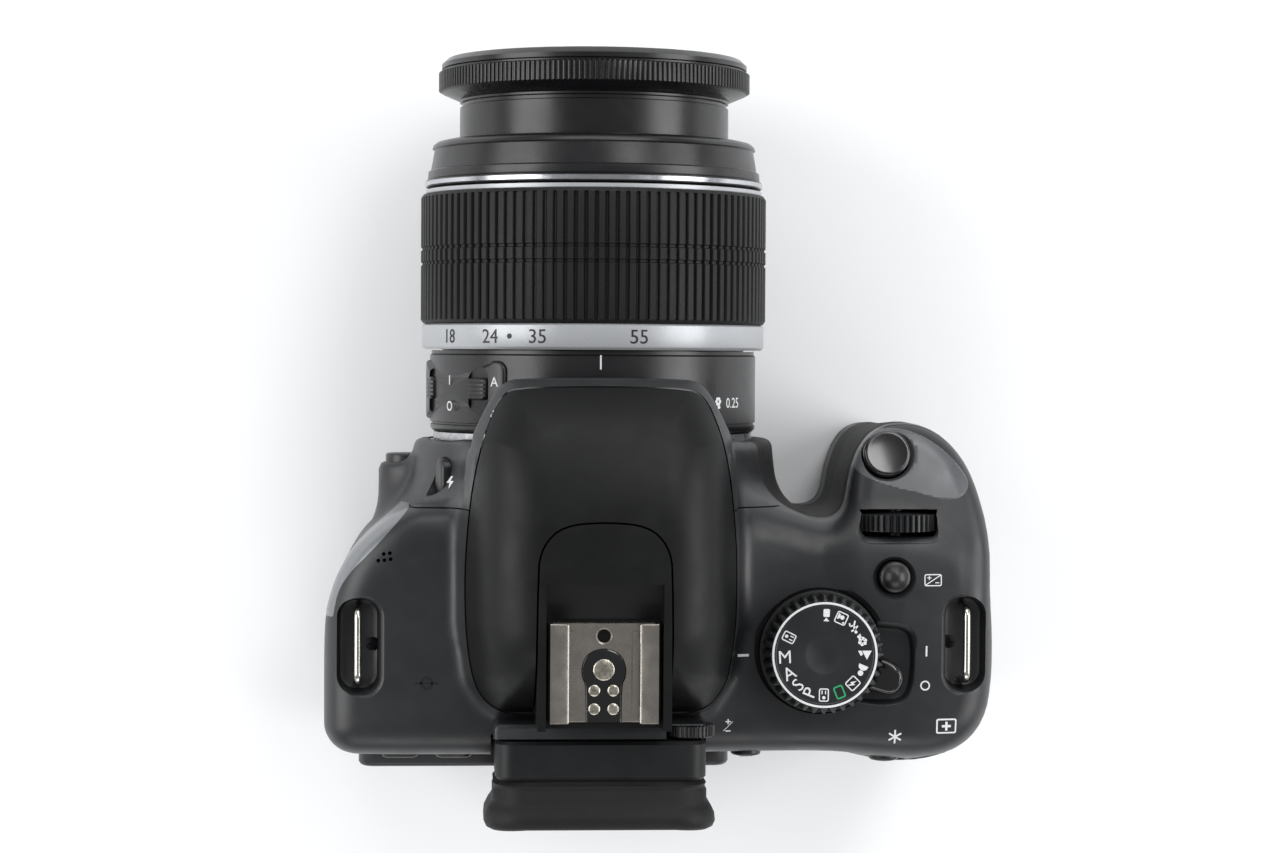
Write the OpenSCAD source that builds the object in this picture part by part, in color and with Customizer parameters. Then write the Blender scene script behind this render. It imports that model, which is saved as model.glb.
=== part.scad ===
// Single-lens reflex camera with a standard zoom lens, built as separate pieces.
// Origin: mouth of the tripod socket. +Z up, the lens looks along -Y, the grip is at -X.

/* [Body] */
// Lens axis to the terminal side wall
left_w = 52; // [48:0.5:64]
// Lens axis to the outside of the grip
right_w = 76.8; // [75:0.1:93]
// Tripod axis forward to the lens flange
front_d = 31; // [30:0.5:37]
// Tripod axis back to the back wall
back_d = 28; // [27:0.5:34]
// Base to the top of the terminal side shoulder
shoulder_h = 76; // [75.5:0.1:78]
// Base to the top of the control deck
deck_h = 72; // [71:0.1:73]
// Height of the bottom cover
base_h = 4; // [3.4:0.1:4.8]
// Height at which the front and back covers meet the top cover
split_h = 62; // [60:0.5:64]
// Thickness of the moulded covers
wall = 2.4; // [2:0.1:2.9]
// Height of the lens axis above the base
axis_h = 41; // [40.5:0.1:41.5]

/* [Grip] */
// Thickness of the grip from side to side
grip_w = 29; // [27:0.5:31]
// Tripod axis forward to the front of the grip
grip_reach = 36.5; // [35:0.5:43]
// Depth of the finger gap's floor in front of the tripod axis
notch_d = 16.4; // [15:0.1:17]
// Thickness of the rubber skins
rubber = 1.2; // [1:0.1:1.4]

/* [Lens] */
// Outside radius of the zoom ring's rubber
lens_r = 34.3; // [33.5:0.1:34.9]
// Flange to the back edge of the zoom ring
zoom_start = 17.9; // [16:0.1:21.4]
// Length of the zoom ring, scale and rubber together
zoom_len = 31.4; // [27:0.1:37.6]
// Length of the printed scale at the back of the zoom ring
scale_len = 5; // [4:0.1:6]
// Length of the fixed front barrel
nose_len = 9.4; // [8:0.1:11]
// Outside radius of the barrel that slides
tube_r = 26.7; // [26:0.1:27]
// How far the sliding barrel stands out
tube_out = 8.1; // [7.8:0.1:9.7]
// Outside radius of the focus ring
focus_r = 30.9; // [30.6:0.1:32]
// Length of the focus ring with its front rim
focus_len = 8; // [7.5:0.1:9.6]
// Radius of the filter thread
filter_r = 29; // [28.6:0.1:29.2]
// Depth of the filter thread
filter_len = 3.5; // [3:0.1:4.2]

/* [Controls] */
// Radius of the mode dial
mode_r = 11.2; // [9.5:0.1:12]
// Height of the mode dial
mode_h = 6.2; // [5:0.1:7.4]
// Radius of the front command wheel
wheel_r = 8; // [7.5:0.1:8.5]
// Width of the front command wheel
wheel_w = 4.2; // [3.5:0.1:5]
// Radius of the shutter button
shutter_r = 4.5; // [3.8:0.1:5.4]
// Radius of the small push buttons
button_r = 2.9; // [2.4:0.1:3.2]
// How far a push button stands out
button_out = 1.2; // [1:0.1:1.5]

/* [Screen] */
// Width of the screen frame
screen_w = 72; // [66:0.5:74]
// Height of the screen frame
screen_h = 52; // [44:0.5:53]
// How far the screen frame stands out of the back
screen_out = 4; // [3.3:0.1:4.8]

/* [Flash] */
// Half the width of the flash cover at its widest
flash_w = 25.3; // [24.5:0.1:26]
// Base to the top of the flash cover
flash_top = 96.5; // [96:0.1:98]
// Tripod axis forward to the front seam of the flash cover
flash_front = 42; // [40:0.5:43]
// Half the width of the notch around the accessory shoe
arch_w = 12.7; // [12.5:0.1:13]

/* [Interfaces] */
// Radius of the tripod thread, a quarter inch across
tripod_r = 3.175; // [3.175]
// Depth of the tripod thread
tripod_len = 6.5; // [5.5:0.1:7]
// Width of the accessory shoe's channel
shoe_w = 18.8; // [18.6:0.05:19]
// Length of the accessory shoe
shoe_len = 18.2; // [18:0.1:19]

/* [Clearance] */
// Gap round buttons, doors and sliding pieces
gap = 0.3; // [0.25:0.05:0.35]
// Gap on the radius of a shaft in its bore
run = 0.05; // [0.03:0.01:0.08]

/* [Hidden] */
$fn = 48;
eps = 0.01;
big = 200;

right_x = -right_w;
back_y = back_d;
flange_y = -front_d;
seam_y = -19;
side_seam_y = 2;
grip_x = right_x + grip_w;
pedestal_w = 26;
collar_r = 35.5;
ring_seat_r = 33;
mount_r = ring_seat_r - 0.6;
throat_r = 27.3;
ring_t = 2.5;
brow_y = -flash_front - 3.5;
shelf_h = axis_h + collar_r + 2.7;

// Slope of the grip's top, from the deck's front edge down to the grip's front
slope_y = -8;
slope = 16;

// Accessory shoe
shoe_z = 90.5;
shoe_front = 1;
shoe_plate = 0.8;
shoe_slot = 2.1;
shoe_lip = 1.5;
shoe_lip_w = 3.2;
shoe_back = shoe_front + shoe_len;
block_w = arch_w - 0.5;
block_back = shoe_back + 1.3;

// Flash hinge
hinge_y = 11;
hinge_z = 82;
hinge_r = 6;
pin_r = 1.5;

// Pentamirror and its cap
cap_w = 16.5;
cap_top = 85.2;
cap_front = -18.8;
cap_step = 3.8;

// Eyepiece
eye_w = 20;
eye_z = 72.5;
eye_y = block_back + 3.3;
eye_back = back_y + 3;
tunnel_w = 11;
tunnel_h = 6.5;
cup_len = 10;

// Viewfinder adjustment wheel
diopter_x = -17;
diopter_z = 78.5;
diopter_r = 4.6;

// Controls on the deck
mode_x = right_x + 34.7;
mode_y = 8.1;
post_r = 5;
switch_h = 1.4;
mode_z = deck_h + switch_h + 0.5;
mode_reach = 3.8;
switch_off = 157;
iso_x = right_x + 20.5;
iso_y = -6;
release_x = right_x + 21.2;
release_y = -29.2;
wheel_x = right_x + 19.3;
wheel_y = -16.1;
wheel_rise = 2.6;
wheel_z = deck_h - (slope_y - wheel_y) * tan(slope) + wheel_rise - wheel_r;

// Lens release
lock_x = 37;
lock_r = 4.2;
lock_z = 38;
lock_out = 2.3;
lock_face = flange_y + 5.2;
pin_x = 29.6;

// Screen
screen_x = 9.8;
screen_z = 6.5 + screen_h / 2;
rim = 3.2;
glass_t = 1.6;

// Mirror box
box_w = 23;
box_lo = 18;
box_hi = 60;
box_wall = 2;
box_front = flange_y + ring_t + 2.5;
box_back = 8;
mirror_w = 16;
mirror_len = 31;
mirror_y = 5.5;
mirror_z = 55.5;
mirror_t = 1.6;
sub_len = 11;
shutter_y = box_back + 0.2;
board_y = 19;
sensor_y = min(max(flange_y + 44, shutter_y + 4.8), board_y - 3.4);

// Battery bay, card and doors
cell_w = 15.4;
cell_h = 50;
cell_x = right_x + 8;
cell_y = -min(23.5, grip_reach - 13);
cell_d = min(34, 10.5 - cell_y);
bay_t = 1.4;
door_t = 1.6;
card_y = 13.5;
card_w = 24;
card_len = 30;
card_z = 22;
port_lo = 14;
port_hi = 54;
port_y0 = 4;
port_y1 = 20;

// Strap bars
lug_r = 0.9;
lug_len = 15;
lug_y = 7;
lug_deep = 6.8;
lug_left_x = left_w - 6.6;
lug_right_x = right_x + 6.3;
lug_w = 4;

// Lens stations along Y, measured back to front
zoom_y1 = flange_y - zoom_start;
zoom_y0 = zoom_y1 - zoom_len;
nose_y1 = zoom_y0 - 0.3;
nose_y0 = nose_y1 - nose_len;
tube_y0 = nose_y0 - tube_out;
tube_y1 = tube_y0 + 46;
focus_y1 = tube_y0 - 0.2;
focus_y0 = focus_y1 - focus_len;
barrel_r = lens_r - 1.7;
sleeve_r = lens_r - 4.3;
sleeve_t = 1.6;
core_r = lens_r - 1.3;
glass_r = 21;
rear_glass_r = 14;

back_keys = [
    // place in the row of keys, x, z
    [0, 37.6, 64.6], [1, 27.4, 64.6], [2, -28.8, 64.6],
    [3, right_x + 20.8, 62], [4, right_x + 11.4, 62],
    [5, -32.5, 49], [6, right_x + 27, 15], [7, right_x + 13, 15]
];
pad_x = right_x + 23.5;
pad_z = 34;
pad_r = 10.2;
set_r = 3.6;
pad_floor = back_y - 1;

// ---- helpers ----

// A flat XZ shape made solid from y0 to y1
module along_y(y0, y1) translate([0, y1, 0]) rotate([90, 0, 0]) linear_extrude(y1 - y0) children();

// A flat YZ shape made solid from x0 to x1
module along_x(x0, x1) translate([x0, 0, 0]) rotate([90, 0, 90]) linear_extrude(x1 - x0) children();

// A flat XY shape made solid from z0 to z1
module along_z(z0, z1) translate([0, 0, z0]) linear_extrude(z1 - z0) children();

// A solid box between two corners
module block(lo, hi) translate(lo) cube(hi - lo);

// A rod along Y at x, z
module rod_y(r, y0, y1, x = 0, z = axis_h) translate([x, y1, z]) rotate([90, 0, 0]) cylinder(r = r, h = y1 - y0);

// A rod along X at y, z
module rod_x(r, x0, x1, y, z) translate([x0, y, z]) rotate([0, 90, 0]) cylinder(r = r, h = x1 - x0);

// A tube on the lens axis
module tube(r1, r0, y0, y1) difference() {
    rod_y(r1, y0, y1);
    rod_y(r0, y0 - 1, y1 + 1);
}

// A flat rectangle with round corners about its centre
module soft_rect(w, h, r) hull() for (x = [-1, 1], y = [-1, 1])
    translate([x * (w / 2 - r), y * (h / 2 - r)]) circle(r, $fn = 32);

// Places children on the sloping top of the grip, z along the slope's normal
module on_slope(x, y) translate([x, y, deck_h - (slope_y - y) * tan(slope)]) rotate([slope, 0, 0]) children();

// ---- body outline ----

module plan_raw() polygon([
    [left_w, back_y], [left_w, -7], [left_w - 11, seam_y], [pedestal_w + 4, seam_y],
    [pedestal_w, flange_y + 2], [-pedestal_w, flange_y + 2], [-pedestal_w - 5, -notch_d],
    [grip_x + 4, -notch_d], [grip_x, -notch_d - 4], [grip_x - 1, -grip_reach + 5],
    [grip_x - 6, -grip_reach], [right_x + 13, -grip_reach + 1], [right_x + 4, -grip_reach + 10],
    [right_x, -12], [right_x, 20], [right_x + 5, back_y - 1], [right_x + 20, back_y + 1.5],
    [right_x + 32, back_y]
]);

// Outline of the body seen from above, moved inwards by inset
module plan(inset = 0) offset(delta = -inset) offset(r = 4, $fn = 32) offset(delta = -4) plan_raw();

// The mount collar seen from the front: a disc that rises to the flash
module bell() hull() {
    translate([0, axis_h]) circle(collar_r);
    translate([-flash_w, axis_h + 20]) square([2 * flash_w, shoulder_h - axis_h - 20]);
}

// The flash hump seen from the front
module hump(inset = 0) offset(delta = -inset) polygon([
    [-flash_w, shoulder_h - 4], [flash_w, shoulder_h - 4], [flash_w, shoulder_h + 5], [19, flash_top - 4],
    [14, flash_top - 0.5], [10, flash_top], [-10, flash_top], [-14, flash_top - 0.5],
    [-19, flash_top - 4], [-flash_w, shoulder_h + 5]
]);

// The flash hump seen from the side
module hump_side(inset = 0) offset(delta = -inset) polygon([
    [brow_y, shoulder_h - 4], [hinge_y + hinge_r + 1, shoulder_h - 4], [hinge_y + hinge_r + 1, hinge_z + 2],
    [hinge_y + 2, hinge_z + hinge_r - 0.5], [0, flash_top - 1.5], [-6, flash_top], [-20, flash_top],
    [-34, flash_top - 4.5], [-flash_front, shoulder_h + 10.5], [brow_y, shoulder_h + 6]
]);

// The flash cover seen from above
module flash_plan(inset = 0) offset(delta = -inset) difference() {
    polygon([
        [-17.4, -flash_front], [17.4, -flash_front], [flash_w - 3.5, -36], [flash_w - 1.2, -28],
        [flash_w, -12], [flash_w, 2], [flash_w - 2, hinge_y], [flash_w - 7, hinge_y + 5.5],
        [-flash_w + 7, hinge_y + 5.5], [-flash_w + 2, hinge_y], [-flash_w, 2], [-flash_w, -12],
        [-flash_w + 1.2, -28], [-flash_w + 3.5, -36]
    ]);
    shoe_arch();
}

// The notch that the shoe's block fills, seen from above
module shoe_arch(r = arch_w) {
    translate([0, -4.8]) circle(r);
    translate([-r, -4.8]) square([2 * r, 40]);
}

// ---- covers ----

module grip_region() polygon([[-pedestal_w - 2, 0], [-pedestal_w - 2, -big], [-big, -big], [-big, 0]]);

module trim_region() polygon([[big, -4], [left_w - 15, -4], [left_w - 15, -big], [big, -big]]);

module skin(t) difference() {
    plan();
    plan(t);
}

module grip_rubber() color("#242424") along_z(8, split_h - 3) intersection() {
    skin(rubber);
    grip_region();
}

module side_trim() color("#9a9c9e") along_z(split_h - 9, split_h) intersection() {
    skin(rubber);
    trim_region();
}

module lock_boss(r, y0) rod_y(r, y0, seam_y + 1, lock_x, lock_z);

module front_cover() color("#2b2c2e") difference() {
    union() {
        along_z(base_h, split_h) intersection() {
            plan();
            translate([-big, -big]) square([2 * big, big + side_seam_y]);
        }
        intersection() {
            along_y(flange_y, seam_y) bell();
            block([-big, -big, base_h], [big, big, big]);
        }
        lock_boss(lock_r + 1.7, lock_face);
        brow();
    }
    along_z(base_h - 1, split_h + eps) plan(wall);
    rod_y(ring_seat_r, flange_y - 1, seam_y + 2);
    on_slope(release_x, release_y) cylinder(r = shutter_r + gap, h = 12, center = true);
    block([-cap_w - 1, flange_y + 4, axis_h], [cap_w + 1, seam_y + 1, shelf_h - 2.4]);
    rod_y(lock_r + gap, flange_y - 1, max(seam_y + 2, lock_face + 7), lock_x, lock_z);
    along_z(8, split_h - 3) intersection() {
        skin(rubber);
        grip_region();
    }
    along_z(split_h - 9, split_h + eps) intersection() {
        skin(rubber);
        trim_region();
    }
    flash_button_place() cylinder(r = button_r + gap, h = 30, center = true);
    card_gap();
}

// The shelf over the lens and the lip in front of the flash
module brow() {
    intersection() {
        along_y(brow_y, seam_y) hump();
        along_x(-big, big) hump_side();
        union() {
            block([-big, brow_y - 1, shoulder_h - 1], [big, seam_y, shelf_h]);
            difference() {
                block([-big, brow_y - 1, shoulder_h - 1], [big, -28, flash_top]);
                along_z(0, big) offset(delta = gap) flash_plan();
            }
        }
    }
}

// Places children on the sloping side of the collar, z along its normal
bell_rise = shoulder_h - axis_h;
bell_a = atan2(bell_rise, flash_w) - acos(collar_r / norm([flash_w, bell_rise]));
module flash_button_place() translate([flash_w + 10 * sin(bell_a), -25.2, shoulder_h - 10 * cos(bell_a)])
    rotate([0, 90 - bell_a, 0]) children();

module bottom_cover() color("#2b2c2e") difference() {
    along_z(0, base_h) plan();
    along_z(wall, base_h + 1) plan(wall);
    translate([0, 0, -1]) cylinder(r = tripod_r + 2.4, h = base_h + 2);
    along_z(-1, base_h) battery_door_plan(gap);
    block([latch_x0() - gap, latch_y0() - gap, -1], [latch_x0() + 8.5, latch_y0() + 6 + gap, 1.6]);
    base_screws(2.1, -1, 1.4);
    base_screws(0.9, -1, wall + 1);
}

module base_screws(r, z0, z1) for (p = [
    [left_w - 8, back_y - 8], [left_w - 9, -6], [18, flange_y + 9], [-18, flange_y + 9],
    [right_x + 34, back_y - 8], [12, back_y - 7]
]) translate([p[0], p[1], z0]) cylinder(r = r, h = z1 - z0);

module rear_cover() color("#2b2c2e") difference() {
    union() {
        along_z(base_h, split_h) intersection() {
            plan();
            translate([-big, side_seam_y]) square([2 * big, big]);
        }
        along_z(split_h, split_h + 6) intersection() {
            plan();
            translate([-big, back_y - wall - 1.6]) square([2 * big, big]);
        }
        along_y(back_y - 1, back_y + screen_out) translate([screen_x, screen_z]) soft_rect(screen_w, screen_h, 3);
    }
    along_z(base_h - 1, split_h + 7) plan(wall);
    block([-eye_w - gap, side_seam_y, eye_z - 12 - gap], [eye_w + gap, big, big]);
    along_y(back_y + screen_out - glass_t, back_y + screen_out + 1)
        translate([screen_x, screen_z]) soft_rect(screen_w - rim, screen_h - rim, 2);
    for (k = back_keys) rod_y(button_r + gap, back_y - 8, back_y + 8, k[1], k[2]);
    rod_y(pad_r + gap, pad_floor, back_y + 8, pad_x, pad_z);
    rod_y(set_r + gap, back_y - 6, back_y + 8, pad_x, pad_z);
    block([left_w - 6, port_y0 - gap, port_lo - gap], [left_w + 1, port_y1 + gap, port_hi + gap]);
    card_gap();
}

module card_gap() block([right_x - 1, side_seam_y - 1, card_z - 4], [right_x + wall + 1, side_seam_y + 18, card_z + card_w + 4]);

module top_region() {
    translate([-big, seam_y]) square([2 * big, big]);
    translate([-big, -big]) square([big + grip_x + 4, 2 * big]);
}

// Side view of the right deck with its slope, lowered by drop
module deck_side(drop = 0) polygon([
    [big, split_h - 1], [big, deck_h - drop], [slope_y, deck_h - drop],
    [slope_y - 60, deck_h - drop - 60 * tan(slope)], [slope_y - 60, split_h - 30], [0, split_h - 30]
]);

module shoulder(inset, drop) {
    intersection() {
        along_z(split_h, shoulder_h - drop) intersection() {
            plan(inset);
            top_region();
        }
        union() {
            block([-23, -big, 0], [big, big, big]);
            along_x(-big, 0) deck_side(drop);
        }
    }
}

module top_cover() color("#2b2c2e") {
    difference() {
        union() {
            difference() {
                shoulder(0, 0);
                translate([0, 0, -eps]) shoulder(wall, wall);
                block([-big, back_y - wall - 1.6 - gap / 3, split_h - 1], [big, big, split_h + 6]);
            }
            // cap over the pentamirror
            block([-cap_w, cap_front, shoulder_h - wall], [cap_w, cap_step, cap_top]);
            block([-block_w + 0.4, cap_front, shoulder_h - wall], [block_w - 0.4, block_back, cap_top]);
            // block that carries the shoe
            intersection() {
                along_z(cap_top - 1, shoe_z) shoe_arch(block_w);
                block([-big, -big, 0], [big, block_back, big]);
            }
            // low wall behind the flash
            block([-eye_w, block_back - 2.2, shoulder_h - wall], [eye_w, block_back, hinge_z + 1]);
            for (s = [-1, 1]) rod_x(pin_r, s > 0 ? block_w - 1 : -block_w - 2.8, s > 0 ? block_w + 2.8 : -block_w + 1, hinge_y, hinge_z);
            for (y = [wheel_y - wheel_w / 2 - 1.9, wheel_y + wheel_w / 2 + 0.5])
                block([wheel_x - 3, y, wheel_z - 3.5], [wheel_x + 3, y + 1.4, deck_h - wall - 1.3]);
            lug_pocket(lug_left_x, shoulder_h, 1.5);
            lug_pocket(lug_right_x, deck_h, 1.5);
            translate([mode_x, mode_y, deck_h - 0.5]) cylinder(r = post_r, h = switch_h + 0.5);
        }
        // hollow for the pentamirror
        block([-cap_w + 1.2, cap_front - 1, split_h - 1], [cap_w - 1.2, cap_step - 1.2, cap_top - 1.2]);
        block([-block_w + 1.8, cap_front - 1, split_h - 1], [block_w - 1.8, 13.5, cap_top - 1.2]);
        block([-tunnel_w, 13, eye_z - tunnel_h], [tunnel_w, big, eye_z + tunnel_h]);
        block([-eye_w - gap, eye_y - 0.2, split_h - 1], [eye_w + gap, big, big]);
        // wheel slot and its shaft
        block([wheel_x - 6.9, wheel_y - wheel_w / 2 - gap, wheel_z], [wheel_x + 6.9, wheel_y + wheel_w / 2 + gap, big]);
        rod_y(wheel_r + 0.5, wheel_y - wheel_w / 2 - gap, wheel_y + wheel_w / 2 + gap, wheel_x, wheel_z);
        rod_y(1.5 + run, wheel_y - 8, wheel_y + 8, wheel_x, wheel_z);
        on_slope(release_x, release_y) cylinder(r = shutter_r + gap, h = 12, center = true);
        translate([iso_x, iso_y, deck_h - 8]) cylinder(r = button_r + gap, h = 20);
        translate([mode_x, mode_y, deck_h - 10]) cylinder(r = 3 + run, h = 30);
        rod_y(1.2 + run, block_back - 5, block_back + 1, diopter_x, diopter_z);
        rod_y(diopter_r + 0.5, block_back, eye_y, diopter_x, diopter_z);
        lug_pocket(lug_left_x, shoulder_h, 0);
        lug_pocket(lug_right_x, deck_h, 0);
        for (p = lug_screw_places()) translate([p[0], p[1], p[2] - 3]) cylinder(r = 1.3, h = 3.1);
    }
}

// Pocket under a strap bar: grown by t for its walls
module lug_pocket(x, top, t) block(
    [x - lug_w - t, lug_y - lug_len / 2 - 1.8 - t, top - lug_deep - t],
    [x + lug_w + t, lug_y + lug_len / 2 + 1.8 + t, t > 0 ? top - 0.5 : top + 5]
);

function lug_screw_places() = [
    [lug_left_x - 2.6, lug_y, shoulder_h - lug_deep], [lug_right_x + 2.6, lug_y, deck_h - lug_deep]
];

// ---- frame and internals ----

module chassis() color("#3a3a3c") difference() {
    union() {
        rod_y(mount_r, flange_y + ring_t, box_front);
        block([-box_w, box_front - 0.5, box_lo], [box_w, box_back, box_hi]);
        block([right_x + 8, -12, base_h + 5], [box_w, 6, base_h + 7]);
        block([-box_w, -12, base_h + 6], [box_w, 6, box_lo + 1]);
        block([cell_x - bay_t, cell_y - bay_t, base_h + 0.5], [cell_x + cell_w + bay_t, cell_y + cell_d + bay_t, cell_h - 4]);
    }
    rod_y(throat_r, flange_y, box_front + 1);
    block([-box_w + box_wall, box_front - 1, box_lo + box_wall], [box_w - box_wall, box_back + 1, box_hi - box_wall]);
    block([-cap_w + 1.5, -20.5, box_hi - 5], [cap_w - 1.5, 4, box_hi + 1]);
    block([cell_x, cell_y, 0], [cell_x + cell_w, cell_y + cell_d, cell_h]);
    translate([0, 0, -1]) cylinder(r = tripod_r + 2.4 + gap, h = 10.3);
    rod_y(1.6 + run, flange_y, box_front + 2, pin_x, axis_h);
    along_z(8, split_h - 3) intersection() {
        skin(rubber);
        grip_region();
    }
    along_z(split_h - 9, split_h) intersection() {
        skin(rubber);
        trim_region();
    }
}

module mount_ring() color("#b9b9bb") difference() {
    tube(mount_r, throat_r, flange_y, flange_y + ring_t);
    mount_screw_set(1.7, flange_y - 1, flange_y + ring_t + 1);
    rod_y(1.6 + run, flange_y - 1, flange_y + 5, pin_x, axis_h);
}

module mount_screw_set(r, y0, y1) for (a = [35, 145, 215, 325])
    rod_y(r, y0, y1, 29.8 * cos(a), axis_h + 29.8 * sin(a));

module screws() color("#8c8d90") {
    mount_screw_set(1.7, flange_y + 0.9, flange_y + ring_t);
    base_screws(2.1, 0.4, 1.4);
    base_screws(0.9, 1.2, wall + 0.2);
    for (p = lug_screw_places()) translate([p[0], p[1], p[2] - 1.5]) cylinder(r = 1.3, h = 2);
}

module hot_shoe() color("#b4b0aa") difference() {
    along_y(shoe_front, shoe_back) translate([0, shoe_z]) difference() {
        translate([-shoe_w / 2 - 0.9, 0]) square([shoe_w + 1.8, shoe_plate + shoe_slot + shoe_lip]);
        translate([-shoe_w / 2, shoe_plate]) square([shoe_w, shoe_slot]);
        translate([-shoe_w / 2 - 0.9 + shoe_lip_w + 0.8, shoe_plate]) square([shoe_w - 2 * shoe_lip_w + 0.2, 10]);
    }
    along_z(shoe_z - 1, shoe_z + 3) contact_plan();
    translate([0, shoe_front + 2.6, shoe_z - 1]) cylinder(r = 1.1, h = 5);
}

module contact_plan(inset = 0) {
    translate([0, 9.6]) circle(3.9 - inset);
    translate([-3.2 + inset, 9.6]) square([6.4 - 2 * inset, shoe_back - 9.6 + 1]);
}

function contact_places() = [[0, 9.6, 1.85], for (x = [-1.85, 1.85], y = [13.4, 16.8]) [x, y, 1.05]];

module shoe_contacts() color("#1b1b1c") {
    difference() {
        intersection() {
            along_z(shoe_z, shoe_z + shoe_plate) contact_plan();
            block([-9, shoe_front, 0], [9, shoe_back, big]);
        }
        for (c = contact_places()) translate([c[0], c[1], shoe_z - 1]) cylinder(r = c[2], h = 4);
    }
    for (c = contact_places()) translate([c[0], c[1], shoe_z]) cylinder(r = c[2], h = shoe_plate + 0.25);
}

module strap_lugs() color("#c8c5bd") for (p = [[lug_left_x, shoulder_h], [lug_right_x, deck_h]])
    translate([p[0], lug_y, p[1] - lug_deep]) {
        for (s = [-1, 1]) translate([0, s * lug_len / 2, 0]) {
            cylinder(r = lug_r, h = lug_deep - 1.3);
            translate([0, 0, lug_deep - 1.3]) sphere(lug_r);
        }
        translate([0, lug_len / 2, lug_deep - 1.3]) rotate([90, 0, 0]) cylinder(r = lug_r, h = lug_len);
    }

module eyepiece_frame() color("#232324") difference() {
    along_y(eye_y, eye_back) translate([0, eye_z]) soft_rect(2 * eye_w, 24, 3);
    block([-tunnel_w, eye_y - 1, eye_z - tunnel_h], [tunnel_w, eye_back + 1, eye_z + tunnel_h]);
}

module viewfinder_optics() color("#6f8a94") {
    block([-cap_w + 2, -20, box_hi - 1.6], [cap_w - 2, 3.5, box_hi]);
    intersection() {
        block([-cap_w + 1.6, -17.5, box_hi + 1], [cap_w - 1.6, 12.8, cap_top - 1.6]);
        along_x(-big, big) polygon([[-17.5, box_hi + 1], [2.2, box_hi + 1], [2.2, 66], [12.8, 66], [12.8, 79], [-2, cap_top - 1.6], [-17.5, 76]]);
        union() {
            block([-big, -big, 0], [big, cap_step - 1.6, big]);
            block([-block_w + 2.2, -big, 0], [block_w - 2.2, big, big]);
        }
    }
    block([-tunnel_w, eye_y + 0.8, eye_z - tunnel_h], [tunnel_w, eye_y + 3.6, eye_z + tunnel_h]);
}

module eyecup() color("#1f1f20") difference() {
    along_y(eye_back, eye_back + cup_len) translate([0, eye_z]) soft_rect(2 * eye_w + 3.4, 24.5, 6);
    along_y(eye_back - 1, eye_back + cup_len + 1) translate([0, eye_z]) soft_rect(2 * tunnel_w, 2 * tunnel_h, 2);
    along_y(eye_back + 4, eye_back + cup_len + 1) translate([0, eye_z]) soft_rect(2 * tunnel_w + 6, 2 * tunnel_h + 5, 4);
}

module screen_window() color("#0c0d10") along_y(back_y + screen_out - glass_t, back_y + screen_out)
    translate([screen_x, screen_z]) soft_rect(screen_w - rim, screen_h - rim, 2);

module main_board() color("#1f4a33") {
    block([-40, board_y, 12], [left_w - 8, board_y + 1.6, 58]);
    for (z = [17, 27, 37, 46]) difference() {
        block([left_w - 9.5, 6, z], [left_w - 3.2, 17, z + 6]);
        block([left_w - 8, 7, z + 1], [left_w, 16, z + 5]);
    }
    for (z = [17, 27, 37, 46]) block([left_w - 12, 14, z + 1], [left_w - 9.4, board_y + 0.2, z + 4]);
    difference() {
        block([right_x + 9, card_y - 1, card_z - 1.2], [-39, board_y + 1.6, card_z + card_w + 1.2]);
        block([right_x + 1, card_y - 0.1, card_z - 0.1], [right_x + 4.1 + card_len, card_y + 2.2, card_z + card_w + 0.1]);
    }
}

module image_sensor() color("#37506e") {
    block([-11.7, sensor_y, axis_h - 7.9], [11.7, sensor_y + 0.8, axis_h + 7.9]);
    block([-17, sensor_y + 0.8, axis_h - 12], [17, sensor_y + 3, axis_h + 12]);
}

module shutter_unit() color("#2a2a2c") difference() {
    block([-21, shutter_y, 20], [21, shutter_y + 3, box_hi - 2]);
    block([-11.9, shutter_y - 1, axis_h - 8.1], [11.9, shutter_y + 4, axis_h + 8.1]);
}

module battery() color("#303336") block(
    [cell_x + 0.2, cell_y + 0.2, door_t + 0.9], [cell_x + cell_w - 0.2, cell_y + cell_d - 0.2, cell_h]
);

module memory_card() color("#28405f") block([right_x + 4, card_y, card_z], [right_x + 4 + card_len, card_y + 2.1, card_z + card_w]);

module tripod_socket() color("#b9b9bb") difference() {
    cylinder(r = tripod_r + 2.4, h = tripod_len + 1.5);
    translate([0, 0, -1]) cylinder(r = tripod_r, h = tripod_len + 1);
}

// ---- mirror ----

module main_mirror() color("#9fb4c0") translate([0, mirror_y, mirror_z]) rotate([45, 0, 0])
    block([-mirror_w, -mirror_len, -mirror_t], [mirror_w, 0, 0]);

module sub_mirror() color("#9fb4c0") translate([0, mirror_y, mirror_z]) rotate([45, 0, 0])
    translate([0, -sub_len - 4, -mirror_t - 0.9]) block([-8, -0.6, -sub_len], [8, 0.6, 0]);

// ---- controls ----

module lens_release_button() color("#2b2c2e") {
    rod_y(lock_r, lock_face - lock_out, lock_face + 5, lock_x, lock_z);
    rod_y(lock_r - 1.5, lock_face + 5, lock_face + 6.2, lock_x, lock_z);
}

module lock_pin() color("#b9b9bb") rod_y(1.6, flange_y - 1, flange_y + 5.5, pin_x, axis_h);

module flash_button() color("#2b2c2e") flash_button_place() translate([0, 0, -3]) cylinder(r = button_r, h = 3 + button_out + 0.8);

module shutter_button() color("#17181a") on_slope(release_x, release_y) translate([0, 0, -4]) {
    cylinder(r = shutter_r, h = 5.2);
    translate([0, 0, 5.2]) cylinder(r1 = shutter_r, r2 = shutter_r - 0.8, h = 0.5);
}

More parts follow.
